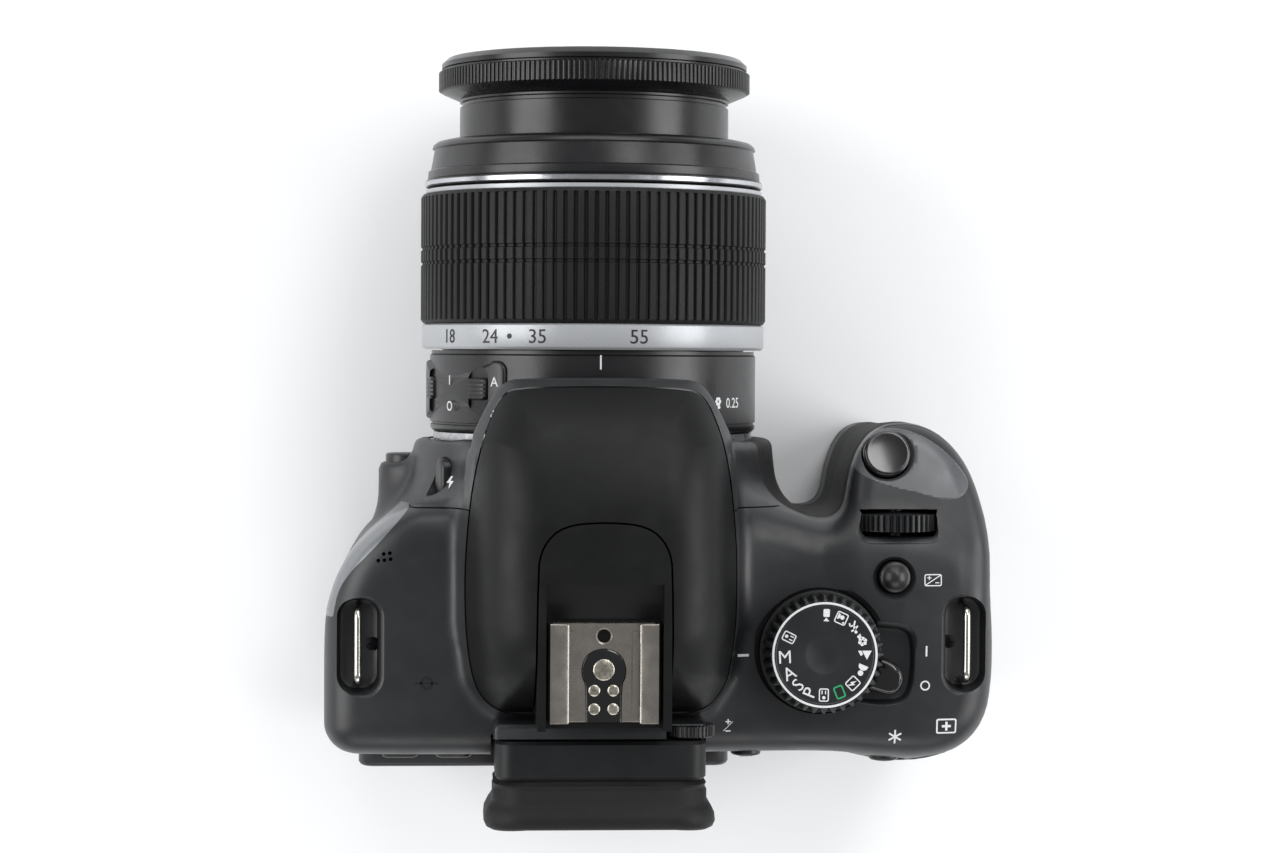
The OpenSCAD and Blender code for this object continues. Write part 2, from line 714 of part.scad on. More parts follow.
module main_dial() color("#1b1c1d") difference() {
    union() {
        rod_y(wheel_r, wheel_y - wheel_w / 2, wheel_y + wheel_w / 2, wheel_x, wheel_z);
        rod_y(1.5, wheel_y - wheel_w / 2 - 2, wheel_y + wheel_w / 2 + 2, wheel_x, wheel_z);
    }
    for (i = [0:19]) rod_y(0.5, wheel_y - wheel_w, wheel_y + wheel_w,
        wheel_x + wheel_r * cos(i * 18), wheel_z + wheel_r * sin(i * 18));
}

module iso_button() color("#17181a") translate([iso_x, iso_y, deck_h - 4]) {
    cylinder(r = button_r, h = 5);
    translate([0, 0, 5]) cylinder(r1 = button_r, r2 = button_r - 0.8, h = 0.6);
}

module mode_dial() color("#1b1c1d") translate([mode_x, mode_y, mode_z]) {
    difference() {
        cylinder(r = mode_r, h = mode_h);
        for (i = [0:29]) rotate(i * 12) translate([mode_r + 0.3, 0, -1]) cylinder(r = 0.7, h = mode_h - 0.4);
    }
    translate([0, 0, -6]) cylinder(r = 3, h = 6.5);
}

module power_switch() color("#1b1c1d") translate([mode_x, mode_y, deck_h + 0.2]) {
    difference() {
        cylinder(r = mode_r + 0.6, h = switch_h);
        translate([0, 0, -1]) cylinder(r = post_r + run, h = 5);
    }
    rotate(switch_off) {
        translate([mode_r - 1, -1.6, 0]) cube([mode_reach + 1, 3.2, switch_h]);
        translate([mode_r + 1, -1.6, 0]) cube([mode_reach - 1, 3.2, switch_h + 2.4]);
    }
}

module diopter_dial() color("#1b1c1d") {
    difference() {
        rod_y(diopter_r, block_back + 0.3, eye_y - 0.3, diopter_x, diopter_z);
        for (i = [0:23]) rod_y(0.28, block_back, eye_y,
            diopter_x + diopter_r * cos(i * 15), diopter_z + diopter_r * sin(i * 15));
    }
    rod_y(1.2, block_back - 2, block_back + 0.5, diopter_x, diopter_z);
}

// Where the back wall is at x
function back_at(x) = x > right_x + 32 ? back_y
    : x > right_x + 20 ? back_y + (right_x + 32 - x) / 8
    : back_y + 1.5 - (right_x + 20 - x) / 6;

module back_key(i) color("#2b2c2e")
    rod_y(button_r, back_y - wall - 0.6, back_at(back_keys[i][1]) + button_out, back_keys[i][1], back_keys[i][2]);

module cross_keys() color("#2b2c2e") difference() {
    rod_y(pad_r, pad_floor + 0.5, back_at(pad_x) + button_out, pad_x, pad_z);
    rod_y(set_r + gap, back_y - 8, back_y + 8, pad_x, pad_z);
}

module set_button() color("#2b2c2e") rod_y(set_r, back_y - 3, back_at(pad_x) + button_out + 0.3, pad_x, pad_z);

// ---- flash ----

module flash_head() color("#2b2c2e") {
    difference() {
        intersection() {
            along_z(shoulder_h + 0.6, flash_top) flash_plan();
            along_y(-big, big) hump();
            along_x(-big, big) hump_side();
        }
        intersection() {
            along_z(shoulder_h, flash_top) flash_skirt();
            along_y(-big, big) hump(1.8);
            along_x(-big, big) hump_side_low();
        }
        block([-big, -big, 0], [big, seam_y + 0.6, shelf_h + 0.6]);
        flash_tail_cut();
    }
    for (s = [-1, 1]) difference() {
        rod_x(4.6, s > 0 ? arch_w : -arch_w - 2.6, s > 0 ? arch_w + 2.6 : -arch_w, hinge_y, hinge_z);
        rod_x(pin_r + run, -big / 2, big / 2, hinge_y, hinge_z);
    }
}

// Inside of the flash cover seen from above: walled outside, open to the shoe
module flash_skirt() union() {
    offset(delta = -1.8) flash_plan();
    difference() {
        shoe_arch(arch_w + 6);
        translate([-big, -big]) square([2 * big, big - 19.5]);
    }
}

// Inside of the flash cover seen from the side
module hump_side_low() polygon([
    [-flash_front + 2, shoulder_h], [hinge_y + hinge_r, shoulder_h], [hinge_y + hinge_r, hinge_z],
    [hinge_y + 1, hinge_z + hinge_r - 2.4], [0, flash_top - 3.6], [-6, flash_top - 1.9],
    [-20, flash_top - 1.9], [-34, flash_top - 6.5], [-flash_front + 2, shoulder_h + 9]
]);

// Everything further back than a quarter turn about the hinge allows
module flash_tail_cut() difference() {
    block([-big, hinge_y, 0], [big, big, big]);
    rod_x(hinge_r, -big, big, hinge_y, hinge_z);
}

module flash_window() color("#cfd6d8") intersection() {
    block([-14.5, -flash_front + 2, shelf_h + 0.6], [14.5, -24, shelf_h + 2.6]);
    along_z(0, big) flash_plan(1.8);
}

// ---- doors ----

module terminal_cover() color("#262627") block([left_w - 1.4, port_y0, port_lo], [left_w, port_y1, port_hi]);

module card_door() color("#2b2c2e") block([right_x, side_seam_y - 0.7, card_z - 3.7], [right_x + 1.5, side_seam_y + 17.7, card_z + card_w + 3.7]);

module battery_door_plan(grow = 0) translate([cell_x - 1 - grow, cell_y - 1 - grow])
    square([cell_w + 2 + 2 * grow, cell_d + 2 + 2 * grow]);

module battery_door() color("#2b2c2e") along_z(0.3, door_t + 0.3) battery_door_plan();

function latch_x0() = cell_x + cell_w + 2;
function latch_y0() = cell_y + cell_d / 2 - 3;

module battery_latch() color("#2b2c2e") block([latch_x0(), latch_y0(), 0.3], [latch_x0() + 6, latch_y0() + 6, 1.5]);

// ---- lens ----

module lens_mount() color("#b9b9bb") {
    difference() {
        tube(barrel_r - 0.9, rear_glass_r, flange_y - 1.6, flange_y);
        rod_y(1.8, flange_y - 1.3, flange_y + 1, pin_x, axis_h);
    }
    tube(throat_r - gap, throat_r - 2.3, flange_y, flange_y + 5);
}

module rear_lens() color("#7f97a8") difference() {
    rod_y(rear_glass_r, flange_y - 5, flange_y);
    translate([0, flange_y - 25, axis_h]) sphere(r = 21);
}

module lens_barrel() color("#1d1d1f") difference() {
    union() {
        tube(barrel_r, sleeve_r - sleeve_t, zoom_y1 + 0.3, flange_y - 1.6);
        tube(sleeve_r, sleeve_r - sleeve_t, nose_y1, zoom_y1 + 1);
        tube(sleeve_r, rear_glass_r, flange_y - 4.6, flange_y - 1.6);
        switch_plate();
    }
    for (a = switch_angles()) rotate_about_axis(a) block([-2 - gap, switch_y() - 5.2, barrel_r - 1.4], [2 + gap, switch_y() + 5.2, barrel_r + 3]);
}

function switch_angles() = [-74, -44];
function switch_y() = flange_y - 9.3;

// Turns children about the lens axis, from straight up towards +X
module rotate_about_axis(a) translate([0, 0, axis_h]) rotate([0, -a, 0]) children();

module switch_plate() rotate_about_axis(-59) intersection() {
    translate([0, 0, -axis_h]) tube(barrel_r + 0.9, barrel_r - 1, flange_y - 15.6, flange_y - 2.6);
    block([-14, -big, 0], [14, big, big]);
}

module lens_switch(a) color("#2a2a2c") rotate_about_axis(a) {
    block([-2, switch_y() - 3.2, barrel_r - 1.2], [2, switch_y() + 1.2, barrel_r + 1.4]);
}

module front_barrel() color("#1d1d1f") difference() {
    translate([0, nose_y1, axis_h]) rotate([90, 0, 0]) cylinder(r1 = lens_r - 1.1, r2 = lens_r - 3.2, h = nose_len);
    rod_y(tube_r + gap, nose_y0 - 1, nose_y1 + 1);
}

module zoom_ring() color("#8f9193") {
    tube(core_r, sleeve_r + gap, zoom_y0, zoom_y1);
    tube(lens_r - 0.3, core_r - eps, zoom_y1 - scale_len, zoom_y1);
}

module zoom_grip() color("#1a1a1b") tube(lens_r, core_r, zoom_y0 + 0.8, zoom_y1 - scale_len);

module inner_barrel() color("#232325") tube(tube_r, tube_r - 2.2, tube_y0, tube_y1);

module focus_ring() color("#202022") difference() {
    union() {
        rod_y(focus_r, focus_y0 + 3.8, focus_y1);
        rod_y(focus_r - 0.9, focus_y0, focus_y0 + 4);
        rod_y(tube_r - 2.2 - gap, focus_y1 - 1, focus_y1 + 9);
    }
    rod_y(filter_r, focus_y0 - 1, focus_y0 + filter_len);
    translate([0, focus_y1 - 2, axis_h]) rotate([90, 0, 0]) cylinder(r1 = glass_r, r2 = filter_r - 1.4, h = focus_len - 2 - filter_len + eps);
    rod_y(glass_r, focus_y1 - 2 - eps, focus_y1 + 10);
}

module front_lens() color("#5a6f86") intersection() {
    rod_y(glass_r, focus_y1 - 2, focus_y1 + 4);
    translate([0, focus_y1 + 42, axis_h]) sphere(r = 45, $fn = 180);
}

chassis();
front_cover();
top_cover();
rear_cover();
bottom_cover();
side_trim();
grip_rubber();
mount_ring();
screws();
hot_shoe();
shoe_contacts();
strap_lugs();
eyepiece_frame();
viewfinder_optics();
eyecup();
screen_window();
main_board();
image_sensor();
shutter_unit();
battery();
memory_card();
tripod_socket();
lock_pin();
lens_release_button();
flash_button();
shutter_button();
main_dial();
iso_button();
mode_dial();
power_switch();
flash_head();
flash_window();
diopter_dial();
back_key(0);  // menu_button
back_key(1);  // display_button
back_key(2);  // live_view_button
back_key(3);  // ae_lock_button
back_key(4);  // af_point_button
back_key(5);  // exposure_button
back_key(6);  // playback_button
back_key(7);  // erase_button
cross_keys();
set_button();
terminal_cover();
card_door();
battery_door();
battery_latch();
main_mirror();
sub_mirror();
lens_mount();
lens_barrel();
front_barrel();
zoom_ring();
zoom_grip();
inner_barrel();
focus_ring();
front_lens();
rear_lens();
lens_switch(switch_angles()[1]);  // focus_mode_switch
lens_switch(switch_angles()[0]);  // stabiliser_switch
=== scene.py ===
import math

import bpy
import numpy as np
from mathutils import Matrix, Vector


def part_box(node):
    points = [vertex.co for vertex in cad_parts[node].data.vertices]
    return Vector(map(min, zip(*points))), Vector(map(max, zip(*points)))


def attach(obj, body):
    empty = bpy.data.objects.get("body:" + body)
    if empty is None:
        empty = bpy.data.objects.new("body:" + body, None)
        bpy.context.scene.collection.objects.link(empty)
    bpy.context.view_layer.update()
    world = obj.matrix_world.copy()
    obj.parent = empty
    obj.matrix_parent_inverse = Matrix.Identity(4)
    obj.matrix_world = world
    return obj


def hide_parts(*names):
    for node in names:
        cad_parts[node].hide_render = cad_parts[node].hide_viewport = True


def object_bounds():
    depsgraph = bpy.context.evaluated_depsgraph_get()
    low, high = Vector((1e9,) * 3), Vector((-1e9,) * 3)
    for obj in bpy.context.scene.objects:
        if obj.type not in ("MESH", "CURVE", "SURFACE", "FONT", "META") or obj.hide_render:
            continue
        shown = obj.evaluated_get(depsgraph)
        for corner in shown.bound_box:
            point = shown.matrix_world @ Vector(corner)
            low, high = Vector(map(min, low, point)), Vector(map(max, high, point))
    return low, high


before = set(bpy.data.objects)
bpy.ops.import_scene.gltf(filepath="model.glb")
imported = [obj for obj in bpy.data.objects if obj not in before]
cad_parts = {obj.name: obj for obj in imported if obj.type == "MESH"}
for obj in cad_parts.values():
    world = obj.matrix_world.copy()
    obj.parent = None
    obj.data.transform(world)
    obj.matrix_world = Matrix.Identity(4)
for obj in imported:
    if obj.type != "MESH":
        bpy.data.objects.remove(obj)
cad_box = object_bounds()
MM = 0.001

# ---------------------------------------------------------------- sizes taken from the frame, in mm


def corner(node, side):
    """Lowest (0) or highest (1) corner of a CAD node, in mm."""
    return np.array(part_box(node)[side]) * 1000


lo_body, hi_body = corner("bottom_cover", 0), corner("bottom_cover", 1)
RIGHT, LEFT = lo_body[0], hi_body[0]
SHOULDER = 76.0
AXIS = (corner("zoom_grip", 0)[2] + corner("zoom_grip", 1)[2]) / 2
FLANGE = corner("mount_ring", 0)[1]
BASE_H = hi_body[2]
SPLIT = 62.0
SEAM = -19.0
SIDE_SEAM = 2.0
WALL = 2.0
DECK = 72.0
SLOPE = math.radians(16)
FLASH_TOP = corner("flash_head", 1)[2]
HINGE_Y, HINGE_Z = 11.0, 82.0
BOSS_X, BOSS_Z = 37.0, 38.0
COLLAR_R = 35.4
RING_SCREWS_R = 29.8
DOOR_GAP = 0.25
BARREL_R, PLATE_R, SCALE_R = 32.4, 33.2, 34.0
PRINT = 0.06

# ---------------------------------------------------------------- surfaces as whole arrays


def mesh_piece(name, verts, faces, body, mat, smooth=40, slot=None, replaces=()):
    """A mesh object from vertices in mm and a list of face arrays, riding on a body."""
    me = bpy.data.meshes.new(name)
    polys = [f for block in faces for f in np.asarray(block).tolist()]
    me.from_pydata((np.asarray(verts) * MM).tolist(), [], polys)
    me.validate()
    obj = bpy.data.objects.new(name, me)
    bpy.context.scene.collection.objects.link(obj)
    if mat:
        me.materials.append(mat)
    if smooth:
        me.shade_smooth()
        me.set_sharp_from_angle(angle=math.radians(smooth))
    if body:
        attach(obj, body)
    if replaces:
        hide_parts(*replaces)
    return obj


def grid_faces(rows, cols, start=0, closed=True):
    """Quads between neighbouring rows of a grid, joined round in the column direction when closed."""
    i = np.arange(rows - 1)[:, None] * cols
    j = np.arange(cols if closed else cols - 1)[None, :]
    k = (j + 1) % cols
    return np.stack([i + j, i + k, i + cols + k, i + cols + j], -1).reshape(-1, 4) + start


def tube_mesh(grid, ends="caps"):
    """Closed solid from loops (rows) of points: walls between loops, and a flat or fanned cap at each end.
    ends: caps = one face each, poles = a fan to the loop's middle, ring = last loop joins the first."""
    rows, cols = grid.shape[:2]
    verts = grid.reshape(-1, 3)
    if ends == "ring":
        faces = [grid_faces(rows, cols)]
        j = np.arange(cols)
        k = (j + 1) % cols
        last = (rows - 1) * cols
        faces.append(np.stack([last + j, last + k, k, j], -1))
        return verts, faces
    faces = [grid_faces(rows, cols)]
    if ends == "caps":
        faces.append(np.arange(cols)[::-1][None])
        faces.append((np.arange(cols) + (rows - 1) * cols)[None])
        return verts, faces
    first, last = grid[0].mean(0), grid[-1].mean(0)
    n = len(verts)
    verts = np.vstack([verts, first, last])
    j = np.arange(cols)
    k = (j + 1) % cols
    faces.append(np.stack([k, j, np.full(cols, n)], -1))
    faces.append(np.stack([(rows - 1) * cols + j, (rows - 1) * cols + k, np.full(cols, n + 1)], -1))
    return verts, faces


def facing_out(verts, faces):
    """Turns all faces round when the signed volume, summed over fans of triangles, comes out negative."""
    v = np.asarray(verts)
    total = 0.0
    for block in faces:
        b = np.asarray(block)
        a = v[b[:, 0]]
        for i in range(1, b.shape[1] - 1):
            total += np.einsum("ij,ij->i", a, np.cross(v[b[:, i]], v[b[:, i + 1]])).sum()
    return faces if total > 0 else [np.asarray(b)[:, ::-1] for b in faces]


def solid(name, grid, body, mat, ends="caps", **more):
    """A piece from loops of points, its faces turned outwards."""
    verts, faces = tube_mesh(np.asarray(grid, float), ends)
    return mesh_piece(name, verts, facing_out(verts, faces), body, mat, **more)


def ring_points(n):
    """Angles of n points round a circle."""
    return np.arange(n) * 2 * np.pi / n


def lathe_y(profile, n=192, centre=(0.0, None), ribs=None):
    """Loops round an axis along Y: each profile point (radius, y) becomes a circle of that radius.
    ribs is a function (angle, row) giving what is added to the radius."""
    x0 = centre[0]
    z0 = AXIS if centre[1] is None else centre[1]
    a = ring_points(n)[None, :]
    p = np.asarray(profile, float)
    r = p[:, :1] + (ribs(a, np.arange(len(p))[:, None]) if ribs else 0 * a)
    return np.stack([x0 + r * np.sin(a), np.broadcast_to(p[:, 1:], r.shape), z0 + r * np.cos(a)], -1)


def lathe_z(profile, centre, n=128, ribs=None):
    """Loops round an upright axis: each profile point (radius, z) becomes a circle of that radius."""
    a = ring_points(n)[None, :]
    p = np.asarray(profile, float)
    r = p[:, :1] + (ribs(a, np.arange(len(p))[:, None]) if ribs else 0 * a)
    return np.stack([centre[0] + r * np.cos(a), centre[1] + r * np.sin(a),
                     np.broadcast_to(p[:, 1:], r.shape)], -1)


def soften(points, times=3):
    """Closed outline with its corners cut again and again, at a quarter and three quarters of each side."""
    p = np.asarray(points, float)
    for _ in range(times):
        q = np.roll(p, -1, 0)
        p = np.stack([0.75 * p + 0.25 * q, 0.25 * p + 0.75 * q], 1).reshape(-1, p.shape[1])
    return p


def rounded(w, h, r, n=10):
    """Rectangle outline w by h about the origin with quarter-circle corners of radius r."""
    a = np.linspace(0, np.pi / 2, n)
    out = []
    for i, (sx, sy) in enumerate(((1, 1), (-1, 1), (-1, -1), (1, -1))):
        t = a + i * np.pi / 2
        out.append(np.stack([sx * (w / 2 - r) + r * np.cos(t), sy * (h / 2 - r) + r * np.sin(t)], -1))
    return np.vstack(out)


def outward(p):
    """Unit normals of a closed outline that runs anticlockwise."""
    t = np.roll(p, -1, 0) - np.roll(p, 1, 0)
    n = np.stack([t[:, 1], -t[:, 0]], -1)
    return n / np.maximum(np.linalg.norm(n, axis=1, keepdims=True), 1e-9)


def carry(outline, profile):
    """Loops of an outline: each profile point (offset, height) moves it outwards along its normals."""
    p = np.asarray(outline, float)
    area = np.sum(p[:, 0] * np.roll(p[:, 1], -1) - np.roll(p[:, 0], -1) * p[:, 1])
    if area < 0:
        p = p[::-1]
    n = outward(p)
    return np.stack([np.column_stack([p + n * o, np.full(len(p), z)]) for o, z in profile])


def turned(grid, origin, x_axis, y_axis, z_axis):
    """Takes loops drawn flat to a place with the three given axes."""
    g = np.asarray(grid, float)
    axes = np.array([x_axis, y_axis, z_axis], float)
    return g @ axes + np.asarray(origin, float)


def prism(outline, z0, z1):
    """Loops of an outline between two heights, for cutting."""
    return carry(outline, [(0, z0), (0, z1)])


def box_grid(lo, hi):
    """Loops of a square block between two corners."""
    x0, y0, z0 = lo
    x1, y1, z1 = hi
    return prism([(x0, y0), (x1, y0), (x1, y1), (x0, y1)], z0, z1)


def wedge(outline, x0, x1):
    """Loops of a (y, z) outline between two places along X, for cutting."""
    p = np.asarray(outline, float)
    return np.stack([np.column_stack([np.full(len(p), x), p]) for x in (x0, x1)])


def boolean(obj, grids, op="DIFFERENCE"):
    """Cuts, joins or keeps a solid with closed solids given as loops."""
    for g in grids:
        tool = solid("cutter", g, None, None, smooth=0) if not isinstance(g, bpy.types.Object) else g
        m = obj.modifiers.new("cut", "BOOLEAN")
        m.operation, m.solver, m.object = op, "MANIFOLD", tool
        new = bpy.data.meshes.new_from_object(obj.evaluated_get(bpy.context.evaluated_depsgraph_get()))
        obj.modifiers.clear()
        old = obj.data
        obj.data = new
        new.name = obj.name
        bpy.data.meshes.remove(old)
        if not isinstance(g, bpy.types.Object):
            bpy.data.objects.remove(tool)
    return obj


def copy_piece(obj, name):
    """A second object with its own copy of the mesh."""
    new = obj.copy()
    new.data = obj.data.copy()
    new.name = name
    bpy.context.scene.collection.objects.link(new)
    return new


# ---------------------------------------------------------------- body form


def smin(a, b, k):
    """The smaller of two distances, with the crease filled over a width k."""
    h = np.clip(0.5 + 0.5 * (b - a) / k, 0, 1)
    return b * (1 - h) + a * h - k * h * (1 - h)


def smax(a, b, k):
    """The larger of two distances, with the corner rounded over a width k."""
    return -smin(-a, -b, k)


def poly_distance(x, y, points):
    """Distance to a closed outline, negative inside: nearest of the sides, sign by crossings."""
    p = np.asarray(points, float)
    q = np.roll(p, -1, 0)
    best = np.full(np.shape(x), 1e9)
    inside = np.zeros(np.shape(x), bool)
    for (ax, ay), (bx, by) in zip(p, q):
        ex, ey = bx - ax, by - ay
        wx, wy = x - ax, y - ay
        t = np.clip((wx * ex + wy * ey) / (ex * ex + ey * ey), 0, 1)
        best = np.minimum(best, (wx - ex * t) ** 2 + (wy - ey * t) ** 2)
        if ay != by:
            inside ^= ((ay > y) != (by > y)) & (x < ax + (y - ay) * ex / ey)
    d = np.sqrt(best)
    return np.where(inside, -d, d)


def shrink(points, r):
    """Outline moved inwards by r at every corner, along the two sides that meet there."""
    p = np.asarray(points, float)
    a, b = p - np.roll(p, 1, 0), np.roll(p, -1, 0) - p
    a /= np.linalg.norm(a, axis=1, keepdims=True)
    b /= np.linalg.norm(b, axis=1, keepdims=True)
    area = np.sum(p[:, 0] * np.roll(p[:, 1], -1) - np.roll(p[:, 0], -1) * p[:, 1])
    s = np.sign(area)
    na, nb = np.stack([-a[:, 1], a[:, 0]], -1) * s, np.stack([-b[:, 1], b[:, 0]], -1) * s
    m = na + nb
    return p + m * (r / np.maximum((m * na).sum(1), 0.2))[:, None]


TRUNK = soften(shrink([(44, 28.0), (LEFT - 0.2, 27.6), (LEFT, 21), (LEFT, 2), (LEFT - 1.3, -3),
                       (LEFT - 2.6, -6.6), (LEFT - 5.3, -11.0), (LEFT - 9.8, -15.4), (LEFT - 14.2, -18.4),
                       (33, -20), (-30, -20), (-38, -18), (-43, -16.2), (-60, -16), (RIGHT + 5, -15),
                       (RIGHT + 1.6, -6), (RIGHT + 0.2, 2), (RIGHT + 0.2, 17), (RIGHT + 3.2, 24.5),
                       (RIGHT + 10, 28.6), (-56, 28.6), (-44, 28.0), (-30, 28.0)], 5), 2)
GRIP = soften(shrink([(-46.5, 2), (-48.2, -22), (-50.3, -30.4), (-54.9, -35.2), (-62.6, -35.3),
                      (-68.5, -31.8), (-73, -25.2), (RIGHT + 0.6, -12), (RIGHT + 1.6, 3), (RIGHT + 4, 8)],
                     4.5), 2)
HUMP = shrink([(-19.5, -45.5), (19.5, -45.5), (25.0, -33), (26.2, -12), (26.0, 2), (24.4, 13), (19.5, 20.4),
               (-19.5, 20.4), (-24.4, 13), (-26.0, 2), (-26.2, -12), (-25.0, -33)], 6)


def deck_height(x, y):
    """Top of the body: 76 on the terminal side, 72 on the grip side, falling away over the grip's front."""
    s = np.clip((x + 40) / 50, 0, 1)
    s = s * s * (3 - 2 * s)
    fall = np.logaddexp(0, (-9 - y) / 2.5) * 2.5 * math.tan(SLOPE)
    return DECK + (SHOULDER - DECK) * s - fall * (1 - s) - 1.6 * np.clip((np.abs(x + 12) - 48) / 16, 0,
            1) ** 2


def hump_top(x, y):
    """Top of the flash hump: level at the back, curving down to the lip over the lens."""
    front = np.clip(-14 - y, 0, None)
    back = np.clip(y - 2, 0, None)
    return FLASH_TOP - 0.2 - 0.0135 * front ** 2 - 0.047 * back ** 2 - 0.0035 * x ** 2


def hump_form(x, y, z):
    """The flash hump: leaning sides under a curved top, cut off level below and behind its lip in front."""
    side = poly_distance(x, y, HUMP) - 6
    side = side + 0.34 * np.clip(z - 78, 0, None)
    d = smax(side, z - hump_top(x, y), 9)
    over = smin(79.0 - z, -30.5 - y, 3)
    return smax(d, over, 2)


def body_form(x, y, z):
    """The moulded body: trunk, grip, lens collar, release boss and the foot of the hump, filleted together.
    The grip leans in towards its foot on the side of the fingers and in front."""
    top = deck_height(x, y)
    base = 0.05 - z
    trunk = smax(poly_distance(x, y, TRUNK) - 5, z - top, 7)
    low = np.clip((64 - z) / 40, 0, 1)
    lean_x = 2.4 * low * np.clip((x + 62) / 10, 0, 1)
    lean_y = 1.5 * low * np.clip((-20 - y) / 10, 0, 1)
    grip = smax(poly_distance(x + lean_x, y - lean_y, GRIP) - 4.5, z - top + 0.4, 4.6)
    d = smin(trunk, grip, 1.2 + 3.8 * np.clip((x + 70) / 12, 0, 1))
    lens = np.hypot(x, z - AXIS) - (COLLAR_R + 0.10 * (y + 31))
    lens = smax(lens, -31.2 - y, 1.6)
    lens = smax(lens, y - 0, 1)
    d = smin(d, lens, 7)
    boss = smax(np.hypot(x - BOSS_X, z - BOSS_Z) - 5.6, -26.4 - y, 1.6)
    boss = smax(boss, y - 0, 1)
    d = smin(d, boss, 4)
    foot = smax(hump_form(x, y, np.minimum(z, 82.0)), z - 84, 2)
    foot = smax(foot, 45 - z, 1)
    foot = smax(foot, -30.8 - y, 2)
    d = smin(d, foot, 3.4)
    thumb = np.sqrt(((x + 60) / 14) ** 2 + ((y - 22) / 8.9) ** 2 + ((z - 54) / 13) ** 2) - 1
    d = smin(d, thumb * 8, 5)
    return smax(d, base, 2.4)


def wrap(form, level, xs, xe, cy, cz, rect, reach, nx, nq, ends=80):
    """Closed skin of a form: every grid point looks from a spine along X towards a box and stops where the
    form's distance equals level. Columns go round the box's section, rows go along it and fold over
    its ends."""
    (y0, y1), (z0, z1) = rect
    r = min(y1 - y0, z1 - z0) * 0.12
    sec = rounded(y1 - y0, z1 - z0, r, 8) + [(y0 + y1) / 2, (z0 + z1) / 2]
    step = np.linalg.norm(np.roll(sec, -1, 0) - sec, axis=1)
    s = np.concatenate([[0], np.cumsum(step)])
    q = np.arange(nq) / nq * s[-1]
    ring = np.stack([np.interp(q, s, np.append(sec[:, k], sec[0, k])) for k in (0, 1)], -1) - [cy, cz]
    mid = np.linspace(xs, xe, nx)
    out = np.linspace(0, reach, ends // 3 + 1)[1:]
    inw = np.linspace(1, 0.004, ends - ends // 3)
    ox = np.concatenate([np.full(ends, xs), mid, np.full(ends, xe)])
    fold = np.concatenate([out, np.full(len(inw), reach)])
    size = np.concatenate([np.ones(len(out)), inw])
    tx = np.concatenate([(xs - fold)[::-1], mid, xe + fold])
    f = np.concatenate([size[::-1], np.ones(nx), size])
    target = np.stack([np.broadcast_to(tx[:, None], (len(tx), nq)), cy + f[:, None] * ring[None, :, 0],
                       cz + f[:, None] * ring[None, :, 1]], -1)
    origin = np.stack([ox, np.full(len(ox), cy), np.full(len(ox), cz)], -1)[:, None, :]
    d = target - origin
    d /= np.linalg.norm(d, axis=-1, keepdims=True)
    near, far = np.zeros(d.shape[:2]), np.full(d.shape[:2], 95.0)
    for _ in range(13):
        t = (near + far) / 2
        p = origin + d * t[..., None]
        inside = form(p[..., 0], p[..., 1], p[..., 2]) < level
        near, far = np.where(inside, t, near), np.where(inside, far, t)
    for _ in range(2):
        f0 = form(*np.moveaxis(origin + d * near[..., None], -1, 0)) - level
        f1 = form(*np.moveaxis(origin + d * (near + 0.05)[..., None], -1, 0)) - level
        g = np.clip((f1 - f0) / 0.05, 0.15, None)
        near = near - np.clip(f0 / g, -0.05, 0.05)
    return origin + d * near[..., None]


def body_skin(level, nx, nq, ends):
    """The body form's skin, level mm outside it (negative: inside)."""
    return wrap(body_form, level, -60, 36, 4, 36, ((-24, 28), (0, 76)), 17, nx, nq, ends)


def hump_skin(level, nx, nq, ends):
    """The hump form's skin, level mm outside it (negative: inside)."""
    return wrap(hump_form, level, -12, 12, -12, 84, ((-45, 18), (74, 96)), 14, nx, nq, ends)


def drape(x, y, form=body_form, top=97.0):
    """Height of a form's top over each (x, y), found by halving between its middle and above it."""
    x, y = np.asarray(x, float), np.asarray(y, float)
    a, b = np.full(x.shape, 50.0), np.full(x.shape, top)
    for _ in range(16):
        m = (a + b) / 2
        inside = form(x, y, m) < 0
        a, b = np.where(inside, m, a), np.where(inside, b, m)
    return a


# ---------------------------------------------------------------- materials


def colour(hex_value, alpha=1.0):
    """sRGB hex to linear."""
    c = [int(hex_value[i:i + 2], 16) / 255 for i in (1, 3, 5)]
    return tuple(v / 12.92 if v <= 0.04045 else ((v + 0.055) / 1.055) ** 2.4 for v in c) + (alpha,)


def add(tree, kind, settings=None, **inputs):
    """A node with its settings, its inputs set or linked."""
    node = tree.nodes.new(kind)
    for k, v in (settings or {}).items():
        setattr(node, k, v)
    for k, v in inputs.items():
        name = k.replace("_", " ")
        socket = node.inputs[int(k[1:])] if k[0] == "i" and k[1:].isdigit() else node.inputs[name]
        if isinstance(v, bpy.types.NodeSocket):
            tree.links.new(v, socket)
        else:
            socket.default_value = v
    return node


def finish_material(name, **fixed):
    """An empty material with a shader, and the Object coordinates of the piece."""
    mat = bpy.data.materials.new(name)
    mat.use_nodes = True
    tree = mat.node_tree
    tree.nodes.clear()
    shader = add(tree, "ShaderNodeBsdfPrincipled", **fixed)
    out = add(tree, "ShaderNodeOutputMaterial")
    tree.links.new(shader.outputs[0], out.inputs[0])
    coords = add(tree, "ShaderNodeTexCoord").outputs["Object"]
    return mat, tree, shader, coords


def grain(tree, coords, size_mm, detail=2.0, stretch=None, distortion=0.0):
    """Noise whose lumps are size_mm across, stretched along an axis when asked."""
    if stretch:
        coords = add(tree, "ShaderNodeMapping", Vector=coords, Scale=stretch).outputs[0]
    return add(tree, "ShaderNodeTexNoise", None, Vector=coords, Scale=1 / (size_mm * MM), Detail=detail,
               Distortion=distortion).outputs["Fac"]


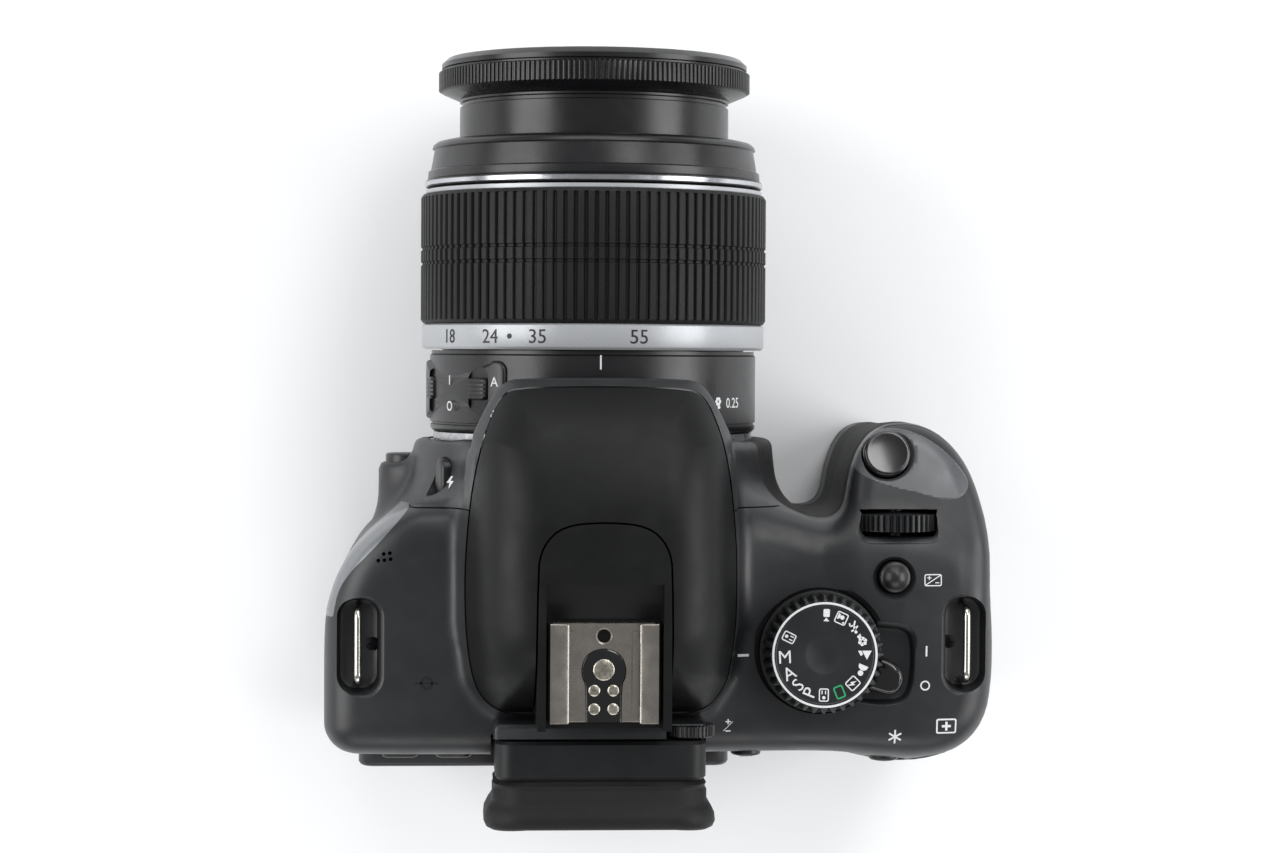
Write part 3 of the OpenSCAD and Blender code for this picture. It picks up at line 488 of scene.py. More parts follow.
def spread(tree, value, low, high, from_low=0.3, from_high=0.7):
    """Stretches a noise value, mostly 0.3 to 0.7, over low to high."""
    return add(tree, "ShaderNodeMapRange", None, Value=value, i1=from_low, i2=from_high, i3=low,
               i4=high).outputs[0]


def two_tone(tree, value, a, b):
    """A colour between two hex values."""
    return add(tree, "ShaderNodeMix", {"data_type": "RGBA"}, i0=value, i6=colour(a), i7=colour(b)).outputs[2]


def bumped(tree, shader, height, depth_mm, strength=1.0, under=None):
    """Relief of a real depth on the shader, on top of another when given."""
    extra = {"Normal": under} if under is not None else {}
    n = add(tree, "ShaderNodeBump", None, Height=height, Distance=depth_mm * MM, Strength=strength, **extra)
    tree.links.new(n.outputs[0], shader.inputs["Normal"])
    return n.outputs[0]


def moulded_plastic(name, dark, light, rough, grit_mm=0.35, grit_depth=0.02, spec=0.5):
    """Spark-eroded ABS or polycarbonate: an even sheen broken up by fine grit, with faint handling marks."""
    mat, tree, shader, coords = finish_material(name, IOR=1.5)
    shader.inputs["Specular IOR Level"].default_value = spec
    broad = grain(tree, coords, 14, 3)
    fine = grain(tree, coords, grit_mm, 3)
    tone = add(tree, "ShaderNodeMath", {"operation": "MULTIPLY_ADD"}, i0=fine, i1=0.35,
               i2=spread(tree, broad, 0, 0.65))
    tree.links.new(two_tone(tree, tone.outputs[0], dark, light), shader.inputs["Base Color"])
    handled = grain(tree, coords, 6, 4, distortion=0.6)
    tree.links.new(spread(tree, handled, rough - 0.05, rough + 0.06), shader.inputs["Roughness"])
    bumped(tree, shader, fine, grit_depth, 0.8)
    return mat


def rubber(name, dark, light, rough, cell_mm, depth):
    """Moulded elastomer: matt, leather-like cells, a greyer bloom in places."""
    mat, tree, shader, coords = finish_material(name, IOR=1.45)
    shader.inputs["Specular IOR Level"].default_value = 0.35
    cells = add(tree, "ShaderNodeTexVoronoi", {"feature": "SMOOTH_F1"}, Vector=coords,
                Scale=1 / (cell_mm * MM)).outputs["Distance"]
    fine = grain(tree, coords, 0.3, 2)
    bloom = grain(tree, coords, 9, 4)
    tree.links.new(two_tone(tree, spread(tree, bloom, 0, 1), dark, light), shader.inputs["Base Color"])
    tree.links.new(spread(tree, fine, rough - 0.06, rough + 0.08), shader.inputs["Roughness"])
    under = add(tree, "ShaderNodeBump", None, Height=cells, Distance=depth * MM, Strength=0.7).outputs[0]
    bumped(tree, shader, fine, 0.02, 0.5, under)
    return mat


def metal(name, dark, light, rough, stretch, size_mm=0.4, depth=0.004):
    """Bare or plated metal, brushed or turned: the streaks run across the stretched direction."""
    mat, tree, shader, coords = finish_material(name, Metallic=1.0)
    streak = grain(tree, coords, size_mm, 4, stretch)
    tree.links.new(two_tone(tree, spread(tree, streak, 0, 1), dark, light), shader.inputs["Base Color"])
    tree.links.new(spread(tree, grain(tree, coords, 3, 3), rough - 0.04, rough + 0.08),
                   shader.inputs["Roughness"])
    bumped(tree, shader, streak, depth, 0.6)
    return mat


def painted(name, dark, light, rough, metallic=0.0, grit_mm=0.25, depth=0.012, coat=0.0):
    """Sprayed paint on aluminium or resin: fine orange peel over an even colour."""
    mat, tree, shader, coords = finish_material(name, Metallic=metallic)
    shader.inputs["Coat Weight"].default_value = coat
    shader.inputs["Coat Roughness"].default_value = 0.2
    fine = grain(tree, coords, grit_mm, 3)
    tree.links.new(two_tone(tree, spread(tree, fine, 0, 1), dark, light), shader.inputs["Base Color"])
    tree.links.new(spread(tree, grain(tree, coords, 5, 3), rough - 0.03, rough + 0.05),
                   shader.inputs["Roughness"])
    bumped(tree, shader, fine, depth, 0.7)
    return mat


def clear(name, tint, tint_b, rough=0.02, ior=1.52):
    """Polished optical glass with a thin coating that tints what it reflects."""
    mat, tree, shader, coords = finish_material(name, IOR=ior)
    shader.inputs["Transmission Weight"].default_value = 1.0
    tree.links.new(two_tone(tree, spread(tree, grain(tree, coords, 20, 1), 0, 1), tint, tint_b),
                   shader.inputs["Base Color"])
    shader.inputs["Roughness"].default_value = rough
    shader.inputs["Specular IOR Level"].default_value = 0.3
    shader.inputs["Coat Weight"].default_value = 0.3
    shader.inputs["Coat Roughness"].default_value = 0.02
    shader.inputs["Coat Tint"].default_value = colour("#ded4ff")
    return mat


# charcoal ABS from a spark-eroded tool: a soft, slightly broken sheen; its grit is drawn coarse to show
shell_abs = moulded_plastic("spark_eroded_abs_shell", "#191a1c", "#232426", 0.40)
# the same ABS from a finer tool and less shiny. Its colour is painted darker than the shell's as painted
# shade for the dark space over the hump's top, so that the hump stands apart from the deck
flash_abs_painted_shade = moulded_plastic("flash_cover_abs_painted_shade", "#09090a", "#0e0f10", 0.45, 0.3, 0.012, 0.22)
# smooth satin ABS, a lighter grey with a broad highlight
panel_satin = moulded_plastic("satin_grey_panel", "#4c4d50", "#595a5d", 0.3, 0.2, 0.008)
# finely textured ABS, near black, which keeps stray light off the eye
eyepiece_abs = moulded_plastic("eyepiece_abs", "#0e0f10", "#151618", 0.46, 0.3, 0.012, 0.3)
# glass-filled nylon: matt and dull, seen only in wells and inside
inner_resin = moulded_plastic("glass_filled_resin", "#161617", "#1e1e20", 0.6)
# fine-textured ABS of the keys, a little smoother than the shell round them
key_abs = moulded_plastic("key_abs", "#141416", "#1b1b1d", 0.36, 0.25, 0.01)
# black ABS from a polished tool: a small sharp highlight
gloss_key = painted("polished_black_key", "#050506", "#08080a", 0.13, 0, 2.0, 0.0, 0.5)
# ABS of the dials, fine grit under printed marks
dial_abs = moulded_plastic("knurled_dial_abs", "#101113", "#17181a", 0.42, 0.3, 0.01)
# moulded elastomer with leather-like cells: matt, with a grey bloom; cells drawn a little coarse to show
grip_skin = rubber("grained_grip_rubber", "#141415", "#201f1e", 0.64, 1.1, 0.12)
# extruded rubber sleeve with sharp ribs: near black, with a faint line of light on each rib
zoom_rubber = rubber("ribbed_zoom_rubber", "#09090a", "#101011", 0.54, 0.8, 0.02)
# soft silicone rubber: matt, smooth, slightly dusty
cup_rubber = rubber("soft_eyecup_rubber", "#0d0d0e", "#141415", 0.6, 0.7, 0.03)
# thin elastomer flap, duller than the shell
door_rubber = rubber("terminal_flap_rubber", "#161617", "#1f1f20", 0.6, 0.9, 0.04)
# sprayed black on aluminium: fine orange peel and a tighter sheen than plastic
lens_paint = painted("lens_black_paint", "#0c0c0e", "#151517", 0.3, 0, 0.35, 0.02)
# semi-gloss black anodising on the sliding tube: smooth, long highlights
tube_paint = painted("inner_tube_black", "#08080a", "#0d0d0f", 0.28, 0, 0.3, 0.006)
# silver-grey lacquer with a little metal flake
scale_paint = painted("silver_grey_scale_paint", "#a6a8ab", "#b1b3b6", 0.36, 0.35, 0.2, 0.004)
# darker silver lacquer on the side strip
trim_paint = painted("silver_badge_paint", "#77797c", "#86888b", 0.32, 0.6, 0.2, 0.004)
# turned and polished aluminium: a thin bright line with turning marks
bright_ring = metal("turned_bright_ring", "#9fa1a6", "#d5d6da", 0.2, (1, 30, 1))
# turned stainless steel, bright and even
mount_steel = metal("turned_stainless_mount", "#9b9c9e", "#c3c4c6", 0.26, (1, 1, 1), 0.8)
# brushed nickel plate on steel: fine streaks, warm grey
shoe_nickel = metal("brushed_nickel_shoe", "#8b847c", "#b3ada6", 0.3, (1, 22, 1), 0.6, 0.006)
# polished chrome on wire: almost a mirror, with soft dark ends
lug_chrome = metal("polished_chrome_bar", "#b9b4ab", "#dcd8d1", 0.14, (1, 6, 1), 1.0, 0.001)
# blackened steel screw heads, a dim metal glint
screw_black = metal("blackened_screw_steel", "#1b1b1d", "#2b2b2e", 0.35, (1, 1, 1), 0.5)
# worn contact plating: warm, with wiped patches
brass_pin = metal("worn_contact_plating", "#8f8a80", "#c9c3b5", 0.28, (1, 1, 1), 0.5)
# pad-printed white, matt and slightly raised
white_ink = painted("white_pad_print", "#c9cacb", "#dedfe0", 0.5, 0, 0.2, 0.003)
# pad-printed black on the silver scale, matt
black_ink = painted("black_pad_print", "#060607", "#0b0b0c", 0.5, 0, 0.2, 0.003)
# pad-printed green for the full automatic mark
green_ink = painted("green_pad_print", "#1f8a5c", "#2a9a68", 0.5, 0, 0.2, 0.003)
# coated optical glass: dark, with a faint violet in what it reflects
lens_glass = clear("coated_lens_glass", "#5c6072", "#7c8194")
# clear prism glass of the viewfinder
optic_glass = clear("prism_glass", "#dfe8ea", "#ffffff")
# smoked acrylic over the screen: dark and mirror smooth
window_resin = painted("smoked_screen_window", "#050607", "#090a0c", 0.06, 0, 3.0, 0.0005, 1.0)
# ribbed clear resin that spreads the flash
diffuser = clear("ribbed_flash_diffuser", "#e6e8e8", "#f6f7f7", 0.25, 1.49)
# circuit board under green solder resist
board_green = painted("solder_resist_board", "#0d3a25", "#14492f", 0.35, 0, 0.6, 0.01)
# filter glass on the sensor: dark blue-green, mirror smooth
sensor_blue = painted("sensor_filter_glass", "#16283a", "#1d3448", 0.08, 0, 2.0, 0.0005, 1.0)
# textured ABS case of the battery
case_grey = moulded_plastic("battery_case_abs", "#1b1c1f", "#242528", 0.45)
# moulded case of the memory card, dark blue, no label
card_blue = moulded_plastic("card_case_resin", "#1a2b47", "#22365a", 0.4)
# front-silvered mirror glass
mirror_silver = metal("front_silvered_mirror", "#c3c8cc", "#cfd4d8", 0.03, (1, 1, 1), 5.0, 0.0)

CAD_FINISH = {"chassis": inner_resin, "mount_ring": mount_steel, "viewfinder_optics": optic_glass,
              "main_board": board_green, "image_sensor": sensor_blue, "shutter_unit": inner_resin,
              "battery": case_grey, "memory_card": card_blue, "tripod_socket": mount_steel,
              "lock_pin": mount_steel, "main_mirror": mirror_silver, "sub_mirror": mirror_silver,
              "lens_mount": mount_steel, "rear_lens": lens_glass, "front_lens": lens_glass,
              "screen_window": window_resin, "flash_window": diffuser, "battery_door": shell_abs,
              "battery_latch": key_abs}
for node, mat in CAD_FINISH.items():
    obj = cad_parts[node]
    obj.data.materials.clear()
    obj.data.materials.append(mat)

# ---------------------------------------------------------------- covers

ARCH = soften([(-12.6, 60), (-12.6, -8), (-11.6, -13.5), (-7.8, -17.2), (0, -17.9), (7.8, -17.2),
               (11.6, -13.5), (12.6, -8), (12.6, 60)][::-1], 2)
FLASH_PLAN = soften([(-15.2, -41.9), (15.2, -41.9), (19.0, -40.2), (21.6, -34), (24.0, -24), (25.3, -10),
                     (25.2, 2), (24.2, 11.0), (22.0, 16.6), (17.6, 19.2), (12, 19.2), (-12, 19.2),
                     (-17.6, 19.2), (-22.0, 16.6), (-24.2, 11.0), (-25.2, 2), (-25.3, -10), (-24.0, -24),
                     (-21.6, -34), (-19.0, -40.2)], 2)
GAP = 0.28
FLASH_FLOOR = 77.0


def grown(outline, by):
    """An outline moved outwards."""
    return carry(outline, [(by, 0)])[0][:, :2]


LUG = {"left": (LEFT - 6.6, 7.0, SHOULDER), "right": (RIGHT + 6.3, 7.0, DECK)}
DIAL_LO, DIAL_HI = corner("mode_dial", 0), corner("mode_dial", 1)
DIAL = ((DIAL_LO[0] + DIAL_HI[0]) / 2, (DIAL_LO[1] + DIAL_HI[1]) / 2)
DIAL_TOP = DIAL_HI[2]
ISO_LO, ISO_HI = corner("iso_button", 0), corner("iso_button", 1)
ISO = ((ISO_LO[0] + ISO_HI[0]) / 2, (ISO_LO[1] + ISO_HI[1]) / 2)
WHEEL_LO, WHEEL_HI = corner("main_dial", 0), corner("main_dial", 1)
WHEEL = ((WHEEL_LO[0] + WHEEL_HI[0]) / 2, (WHEEL_LO[2] + WHEEL_HI[2]) / 2)
WHEEL_Y = (WHEEL_LO[1] + 2, WHEEL_HI[1] - 2)
PRESS = (RIGHT + 21.2, -29.2)
PRESS_Z = float(drape(*PRESS))
LEVER_WELL = soften([(-48, 3.2), (-54.2, 3.7), (-58.8, 4.1), (-60.0, 6.8), (-59.8, 13.8), (-58.6, 17.4),
                     (-54.3, 18.0), (-48, 17.4)], 2)
liners = [carry(LEVER_WELL, [(1.6, 68.4), (1.6, 80)])] + [carry(rounded(10.4, 20.2, 4.4) + [x, y],
                                                                [(0, z - 8.2), (0, z + 9)]) for x, y,
                                                          z in LUG.values()]
liners += [lathe_z([(14.2, 69.4), (14.2, 80)], DIAL, 64), lathe_z([(5.4, 66.5), (5.4, 80)], ISO, 48),
           lathe_z([(6.2, 56.5), (6.2, 72)], PRESS, 48), carry(rounded(19, 8.4, 3) + [WHEEL[0],
        sum(WHEEL_Y) / 2], [(0, WHEEL[1] - 9.4), (0, 80)]), carry(rounded(40, 12, 2) + [0, 25],
                                                                  [(0, 58), (0, 80)]),
           lathe_z([(3.4, 66), (3.4, 80)], (40.7, -11), 32)]

outer = solid("front_cover_skin", body_skin(0, 300, 470, 72), "body", shell_abs, ends="poles",
              slot="black_shell")
inner = solid("hollow", body_skin(-WALL, 110, 200, 40), None, None, ends="poles", smooth=0)
inner_rubber = solid("under_rubber", body_skin(-1.1, 130, 230, 40), None, None, ends="poles", smooth=0)
# the flash cover takes the ABS painted darker: painted shade on the hump's top
hump = solid("flash_cover_skin", hump_skin(0, 130, 300, 60), "flash", flash_abs_painted_shade, ends="poles",
             slot="black_shell")
hump_hollow = solid("hump_hollow", hump_skin(-1.8, 60, 140, 30), None, None, ends="poles", smooth=0)

lip = copy_piece(hump, "lip")
boolean(outer, [inner])

# the silver strip, the rubber skin and the grey panel lie in shallow beds of the covers
GRIP_BED = [(-28.5, -3), (-28.5, -60), (-90, -60), (-90, -3)]
TRIM_BED = soften([(35.6, -19.2), (39.5, -14.7), (43.3, -10.5), (47.0, -6.8), (49.2, -3.4), (50.0, 0.6),
                   (50.1, 1.6), (51, 1.6), (70, 1.6), (70, -19.2), (37, -19.2)], 2)
LEAF = soften([(-48.4, -30.3), (-49.2, -26.1), (-53.5, -23.6), (-60.7, -21.9), (-66.3, -20.5),
               (-69.8, -20.7), (-71.8, -23.2), (-70.6, -26.1), (-66.2, -30.7), (-60.4, -33.9),
               (-54.8, -34.3), (-50.6, -32.4)], 2)
bed = solid("grip_bed", prism(GRIP_BED, 9, 57.5), None, None, smooth=0)
boolean(bed, [inner_rubber])
grip_rubber = copy_piece(outer, "grip_rubber_skin")
boolean(grip_rubber, [bed], "INTERSECT")
v = np.array([q.co[:] for q in grip_rubber.data.vertices]) / MM
step = np.eye(3) * 0.05
up = np.stack([body_form(*(v + d).T) - body_form(*(v - d).T) for d in step], -1)
up /= np.maximum(np.linalg.norm(up, axis=1, keepdims=True), 1e-6)
ease = lambda q, a, b: np.clip((q - a) / (b - a), 0, 1)
swell = 0.3 * ease(v[:, 2], 57.4, 54.5) * ease(v[:, 2], 9.2, 12) * ease(v[:, 0], -28.6,
        -31) * ease(v[:, 0], -67, -60) * ease(v[:, 1], -3.2, -7)
grip_rubber.data.vertices.foreach_set("co", ((v + up * swell[:, None]) * MM).ravel())
trim = copy_piece(outer, "side_strip")
trim_bed = solid("trim_bed", prism(TRIM_BED, 52.5, 90), None, None, smooth=0)
boolean(trim_bed, [inner_rubber])
boolean(trim, [trim_bed], "INTERSECT")
leaf_bed = solid("leaf_bed", prism(LEAF, 55, 90), None, None, smooth=0)
boolean(leaf_bed, [inner_rubber])
leaf_plate = copy_piece(outer, "shutter_panel")
boolean(leaf_plate, [leaf_bed], "INTERSECT")

bottom = copy_piece(outer, "bottom_cover_skin")
boolean(bottom, [box_grid((-99, -99, -1), (99, 99, BASE_H - GAP / 2))], "INTERSECT")
rear = copy_piece(outer, "rear_cover_skin")
boolean(rear, [box_grid((-99, SIDE_SEAM + GAP / 2, BASE_H + GAP / 2), (99, 99, SPLIT - GAP / 2))],
        "INTERSECT")
TOP_REGION = [(99, SEAM + GAP / 2), (99, 99), (-99, 99), (-99, -99), (-44, -99), (-44, SEAM + GAP / 2)]
top = copy_piece(outer, "top_cover_skin")
boolean(top, [prism(TOP_REGION, SPLIT + GAP / 2, 120)], "INTERSECT")
for grid in liners:
    lining = solid("lining", grid, None, None, smooth=0)
    boolean(lining, [inner], "INTERSECT")
    boolean(top, [lining], "UNION")
    bpy.data.objects.remove(lining)
boolean(top, [trim_bed, leaf_bed])
boolean(outer, [box_grid((-99, -99, BASE_H + GAP / 2), (99, SIDE_SEAM - GAP / 2, 120))], "INTERSECT")
boolean(outer, [prism(carry(TOP_REGION, [(GAP, 0)])[0][:, :2], SPLIT - GAP / 2, 130), bed, trim_bed,
                leaf_bed])
boolean(lip, [box_grid((-60, -80, 60), (60, -26, 120))], "INTERSECT")
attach(lip, "body")
boolean(outer, [lip], "UNION")
flash_void = prism(grown(FLASH_PLAN, GAP), FLASH_FLOOR - GAP, 130)
boolean(outer, [flash_void, lathe_y([(33, -60), (33, SEAM + 3)], 160),
                box_grid((-17.4, -29, 41), (17.4, SEAM + 2, 76.4)),
                lathe_y([(4.5, -60), (4.5, SEAM + 3)], 64, (BOSS_X, BOSS_Z))])
boolean(top, [flash_void])
hump_source = copy_piece(hump, "hump_source")
boolean(hump, [hump_hollow])
boolean(hump, [prism(FLASH_PLAN, FLASH_FLOOR, 120)], "INTERSECT")
boolean(hump, [prism(ARCH, 60, 120)])
sweep = np.radians(np.linspace(-90, 0, 16))
boolean(hump, [wedge([(HINGE_Y + 8.6 * math.cos(q), HINGE_Z + 8.6 * math.sin(q))
                      for q in sweep] + [(60, HINGE_Z), (60, 50), (HINGE_Y, 50)], -40, 40)])
shoe_block = copy_piece(hump_source, "shoe_block")
boolean(shoe_block, [carry(rounded(40, 40, 1) + [0, 18], [(0, 76), (0, 94.9), (-0.3, 95.3),
                                                          (-0.9, 95.5)])], "UNION")
boolean(shoe_block, [prism(grown(ARCH, -0.35), FLASH_FLOOR - 4, 120)], "INTERSECT")
boolean(shoe_block, [carry([(-40, 20.4), (40, 20.4), (40, 60), (-40, 60)], [(0, 60), (0, 130)])])
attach(shoe_block, "body")
for helper in (inner, inner_rubber, hump_hollow, bed, trim_bed, leaf_bed, lip, hump_source):
    bpy.data.objects.remove(helper)
# the shoe block takes the same darker ABS as the flash cover: painted shade
for piece, mat in ((grip_rubber, grip_skin), (trim, trim_paint), (shoe_block, flash_abs_painted_shade),
                   (leaf_plate, panel_satin)):
    piece.data.materials.clear()
    piece.data.materials.append(mat)

# ---------------------------------------------------------------- openings in the top cover


def well(cx, cy, outline, floor, top, flare=0.7, foot=0.6):
    """Cutter for a moulded pocket: rounded foot, slightly tapered wall, and a lip that opens out."""
    o = np.asarray(outline) + [cx, cy]
    steps = [(-foot, floor), (-foot * 0.3, floor + foot * 0.3), (0, floor + foot), (0.25, top - flare),
             (0.25 + flare * 0.35, top - flare * 0.4), (0.25 + flare, top), (0.25 + flare * 1.5, top + 6)]
    return carry(o, steps)


circle = lambda r, n=64: np.stack([r * np.cos(ring_points(n)), r * np.sin(ring_points(n))], -1)
tilt_y = np.array([0, -math.sin(SLOPE), math.cos(SLOPE)])
tilt = (np.array([1.0, 0, 0]), np.array([0, math.cos(SLOPE), math.sin(SLOPE)]), tilt_y)

cuts = []
for x, y, z in LUG.values():
    s = 1 if x > 0 else -1
    here = float(drape(x, y))
    cuts.append(well(x, y, rounded(7.6, 17.4, 3.2), z - 6.8, here + 0.3, 0.9, 1.2))
dial_z = float(drape(*DIAL))
cuts.append(carry(LEVER_WELL, [(-0.6, dial_z - 1.7), (-0.2, dial_z - 1.55), (0, dial_z - 1.1),
                               (0.15, dial_z - 0.5), (0.5, dial_z - 0.05), (1.1, dial_z + 0.3),
                               (1.6, dial_z + 6)]))
cuts.append(lathe_z([(11.9, dial_z - 1.6), (12.1, dial_z + 0.1), (12.9, dial_z + 0.7),
                     (13.5, dial_z + 9)], DIAL, 96))
iso_z = float(drape(*ISO))
cuts.append(lathe_z([(3.2, 60), (3.3, iso_z - 1.0), (4.2, iso_z - 0.1), (4.8, iso_z + 0.4),
                     (5.2, iso_z + 5)], ISO, 64))
wheel_z = float(drape(WHEEL[0], sum(WHEEL_Y) / 2))
wheel_hole = well(WHEEL[0], sum(WHEEL_Y) / 2, rounded(14.4, 4.9, 1.6), WHEEL[1], wheel_z + 0.6, 1.1, 0.1)
cuts.append(wheel_hole)
cuts.append(lathe_y([(8.7, WHEEL_Y[1] + 0.5), (8.7, WHEEL_Y[0] - 0.5)], 48, WHEEL))
press_hole = turned(carry(circle(4.75), [(0, -9), (0, -0.9), (0.5, -0.2), (1.0, 0.3), (1.2, 5)]),
                    (PRESS[0], PRESS[1], PRESS_Z), *tilt)
cuts.append(press_hole)
cuts += [lathe_z([(0.36, 60), (0.36, 90)], (40.5 + dx, -9.8 + dy), 16)
         for dx, dy in ((0.1, -0.65), (-1.05, -0.8), (1.1, 0.6), (-0.05, 0.5), (-1.2, 0.3))]
boolean(top, [carry(rounded(40, 5.2, 1.4) + [0, 23.0], [(0, 60), (0, 82.4), (-0.3, 83.0), (-0.9, 83.3)])],
        "UNION")
cuts.append(box_grid((-20.4, 23.4, 55), (20.4, 60, 120)))
cuts.append(carry([(-30, 20.9), (-12.1, 20.9), (-12.1, 30), (-30, 30)], [(0, 73.6), (0, 90)]))
boolean(top, cuts)
boolean(leaf_plate, [press_hole])

# ---------------------------------------------------------------- lens

QUARTER = np.linspace(0, np.pi / 2, 5)


def ring_profile(outside, inside):
    """Closed profile of a ring: outside points from back to front, then inside points from front to back."""
    return list(outside) + list(inside)[::-1]


def chamfered(r_out, y_back, y_front, r_in, c=0.3):
    """Ring section with both outer edges broken by c."""
    return ring_profile([(r_out - c, y_back), (r_out, y_back - c), (r_out, y_front + c),
                         (r_out - c, y_front)], [(r_in, y_back), (r_in, y_front)])


ZOOM_BACK = corner("zoom_ring", 1)[1]
ZOOM_FRONT = corner("zoom_ring", 0)[1]
RUBBER_BACK, RUBBER_FRONT = corner("zoom_grip", 1)[1], corner("zoom_grip", 0)[1]
LENS_R = corner("zoom_grip", 1)[0]
NOSE_BACK, NOSE_FRONT = corner("front_barrel", 1)[1], corner("front_barrel", 0)[1]
TUBE_FRONT, TUBE_BACK = corner("inner_barrel", 0)[1], corner("inner_barrel", 1)[1]
FOCUS_FRONT = corner("focus_ring", 0)[1]
REAR_BACK = FLANGE - 1.6

rear_profile = ring_profile([(30.6, REAR_BACK + 0.1), (31.9, REAR_BACK - 0.3), (32.3, REAR_BACK - 0.8),
                             (32.3, REAR_BACK - 1.5), (32.0, REAR_BACK - 1.65), (32.0, REAR_BACK - 1.95),
                             (BARREL_R, REAR_BACK - 2.1), (BARREL_R, ZOOM_BACK + 1.2),
                             (32.1, ZOOM_BACK + 0.9), (32.1, ZOOM_BACK + 0.25)],
                            [(28.4, REAR_BACK + 0.1), (28.4, ZOOM_BACK + 0.25)])
solid("rear_barrel_shell", lathe_y(rear_profile, 220), "body", lens_paint, "ring", slot="lens_black",
      replaces=("lens_barrel",))
sleeve = ring_profile([(30.0, ZOOM_BACK + 1), (30.0, NOSE_BACK)], [(28.4, ZOOM_BACK + 1), (28.4, NOSE_BACK)])
solid("guide_sleeve", lathe_y(sleeve, 96), "body", lens_paint, "ring", slot="lens_black")
solid("lens_back_plate", lathe_y(chamfered(30.2, REAR_BACK, REAR_BACK - 3, 14, 0.1), 96), "body",
      inner_resin, "ring", slot="lens_black")


def curved_plate(a0, a1, y0, y1, r0, r1, corner_r=0.09):
    """Plate wrapped on the lens: a rounded rectangle in angle and length, r1 - r0 thick, edges rolled."""
    w, h = (a1 - a0) * r1, abs(y1 - y0)
    o = rounded(w, h, min(w, h) * corner_r * 2 if corner_r < 0.5 else min(w, h) / 2 - 0.01, 8)
    rows = []
    for off, k in ((0, 0), (0, 0.6), (-0.15, 0.85), (-0.45, 1.0)):
        p = carry(o, [(off, 0)])[0]
        rows.append((p[:, 0], p[:, 1], k))
    for f in np.linspace(0.93, 0.01, 14):
        p = carry(o, [(-0.45, 0)])[0]
        rows.append((p[:, 0] * f, p[:, 1] * f, 1.0))
    first = [(rows[0][0] * f, rows[0][1] * f, 0.0) for f in np.linspace(0.01, 0.93, 14)]
    out = []
    for u, v, k in first + rows:
        a = (a0 + a1) / 2 + u / r1
        r = r0 + (r1 - r0) * k
        out.append(np.stack([r * np.sin(a), (y0 + y1) / 2 + v, AXIS + r * np.cos(a)], -1))
    return np.stack(out)


A_MF, A_IS = math.radians(44), math.radians(74)
switch_plate = solid("switch_plate", curved_plate(math.radians(33), math.radians(88), ZOOM_BACK + 2.2,
                                                  REAR_BACK - 2.6, 32.1, PLATE_R), "body", lens_paint,
                     slot="lens_black")
SW_LO, SW_HI = corner("focus_mode_switch", 0), corner("focus_mode_switch", 1)


def switch_slot(a, r0, r1, half, y0, y1, end=2.0):
    """Loops of a slot with round ends, pushed out along a radius of the lens."""
    o = rounded(2 * half, y1 - y0, min(end, half - 0.01), 8) + [0, (y0 + y1) / 2]
    g = carry(o, [(0, r0), (0, r1)])
    return turned(g, (0, 0, AXIS), (math.cos(a), 0, -math.sin(a)), (0, 1, 0), (math.sin(a), 0, math.cos(a)))


mid_y = (SW_LO[1] + SW_HI[1]) / 2
slots = []
for a, half in ((A_MF, 2.6), (A_IS, 2.2)):
    slots.append(switch_slot(a, 32.5, 36, half, SW_LO[1] - 2.0, SW_HI[1] + 4.4, 2.2))
boolean(switch_plate, slots)
for name, a, node, half in (("focus_mode_slider", A_MF, "focus_mode_switch", 2.25),
                            ("stabiliser_slider", A_IS, "stabiliser_switch", 1.85)):
    o = rounded(2 * half, SW_HI[1] - SW_LO[1] - 0.2, 0.7, 6) + [0, mid_y]
    g = carry(o, [(0, 32.2), (0, 32.9), (0, 33.5), (-0.25, 33.9), (-0.6, 34.0)])
    g = turned(g, (0, 0, AXIS), (math.cos(a), 0, -math.sin(a)), (0, 1, 0), (math.sin(a), 0, math.cos(a)))
    slider = solid(name, g, node, key_abs, slot="dial", replaces=(node,))
    grooves = [switch_slot(a, 33.55, 36, half + 1, mid_y + d - 0.22, mid_y + d + 0.22, 0.1)
               for d in (-1.2, -0.4, 0.4, 1.2)]
    boolean(slider, grooves)

scale_profile = ring_profile([(33.4, ZOOM_BACK), (33.8, ZOOM_BACK - 0.35), (SCALE_R, ZOOM_BACK - 0.6),
                              (SCALE_R, RUBBER_BACK + 0.4), (33.7, RUBBER_BACK + 0.1),
                              (33.2, RUBBER_BACK), (33.2, RUBBER_FRONT - 0.1), (33.4, RUBBER_FRONT - 0.1),
                              (33.4, ZOOM_FRONT)], [(30.35, ZOOM_BACK), (30.35, ZOOM_FRONT)])
solid("zoom_scale_ring", lathe_y(scale_profile, 220), "zoom", scale_paint, "ring", slot="lens_scale",
      replaces=("zoom_ring",))

RIBS = 108


def square_wave(a, count, share, soft):
    """Flat-topped ribs: one where the wave is up, falling to nothing in the groove over a soft edge."""
    w = np.abs(((a * count / (2 * np.pi)) % 1) - 0.5) * 2
    return np.clip((w - (1 - share)) / soft + 0.5, 0, 1)


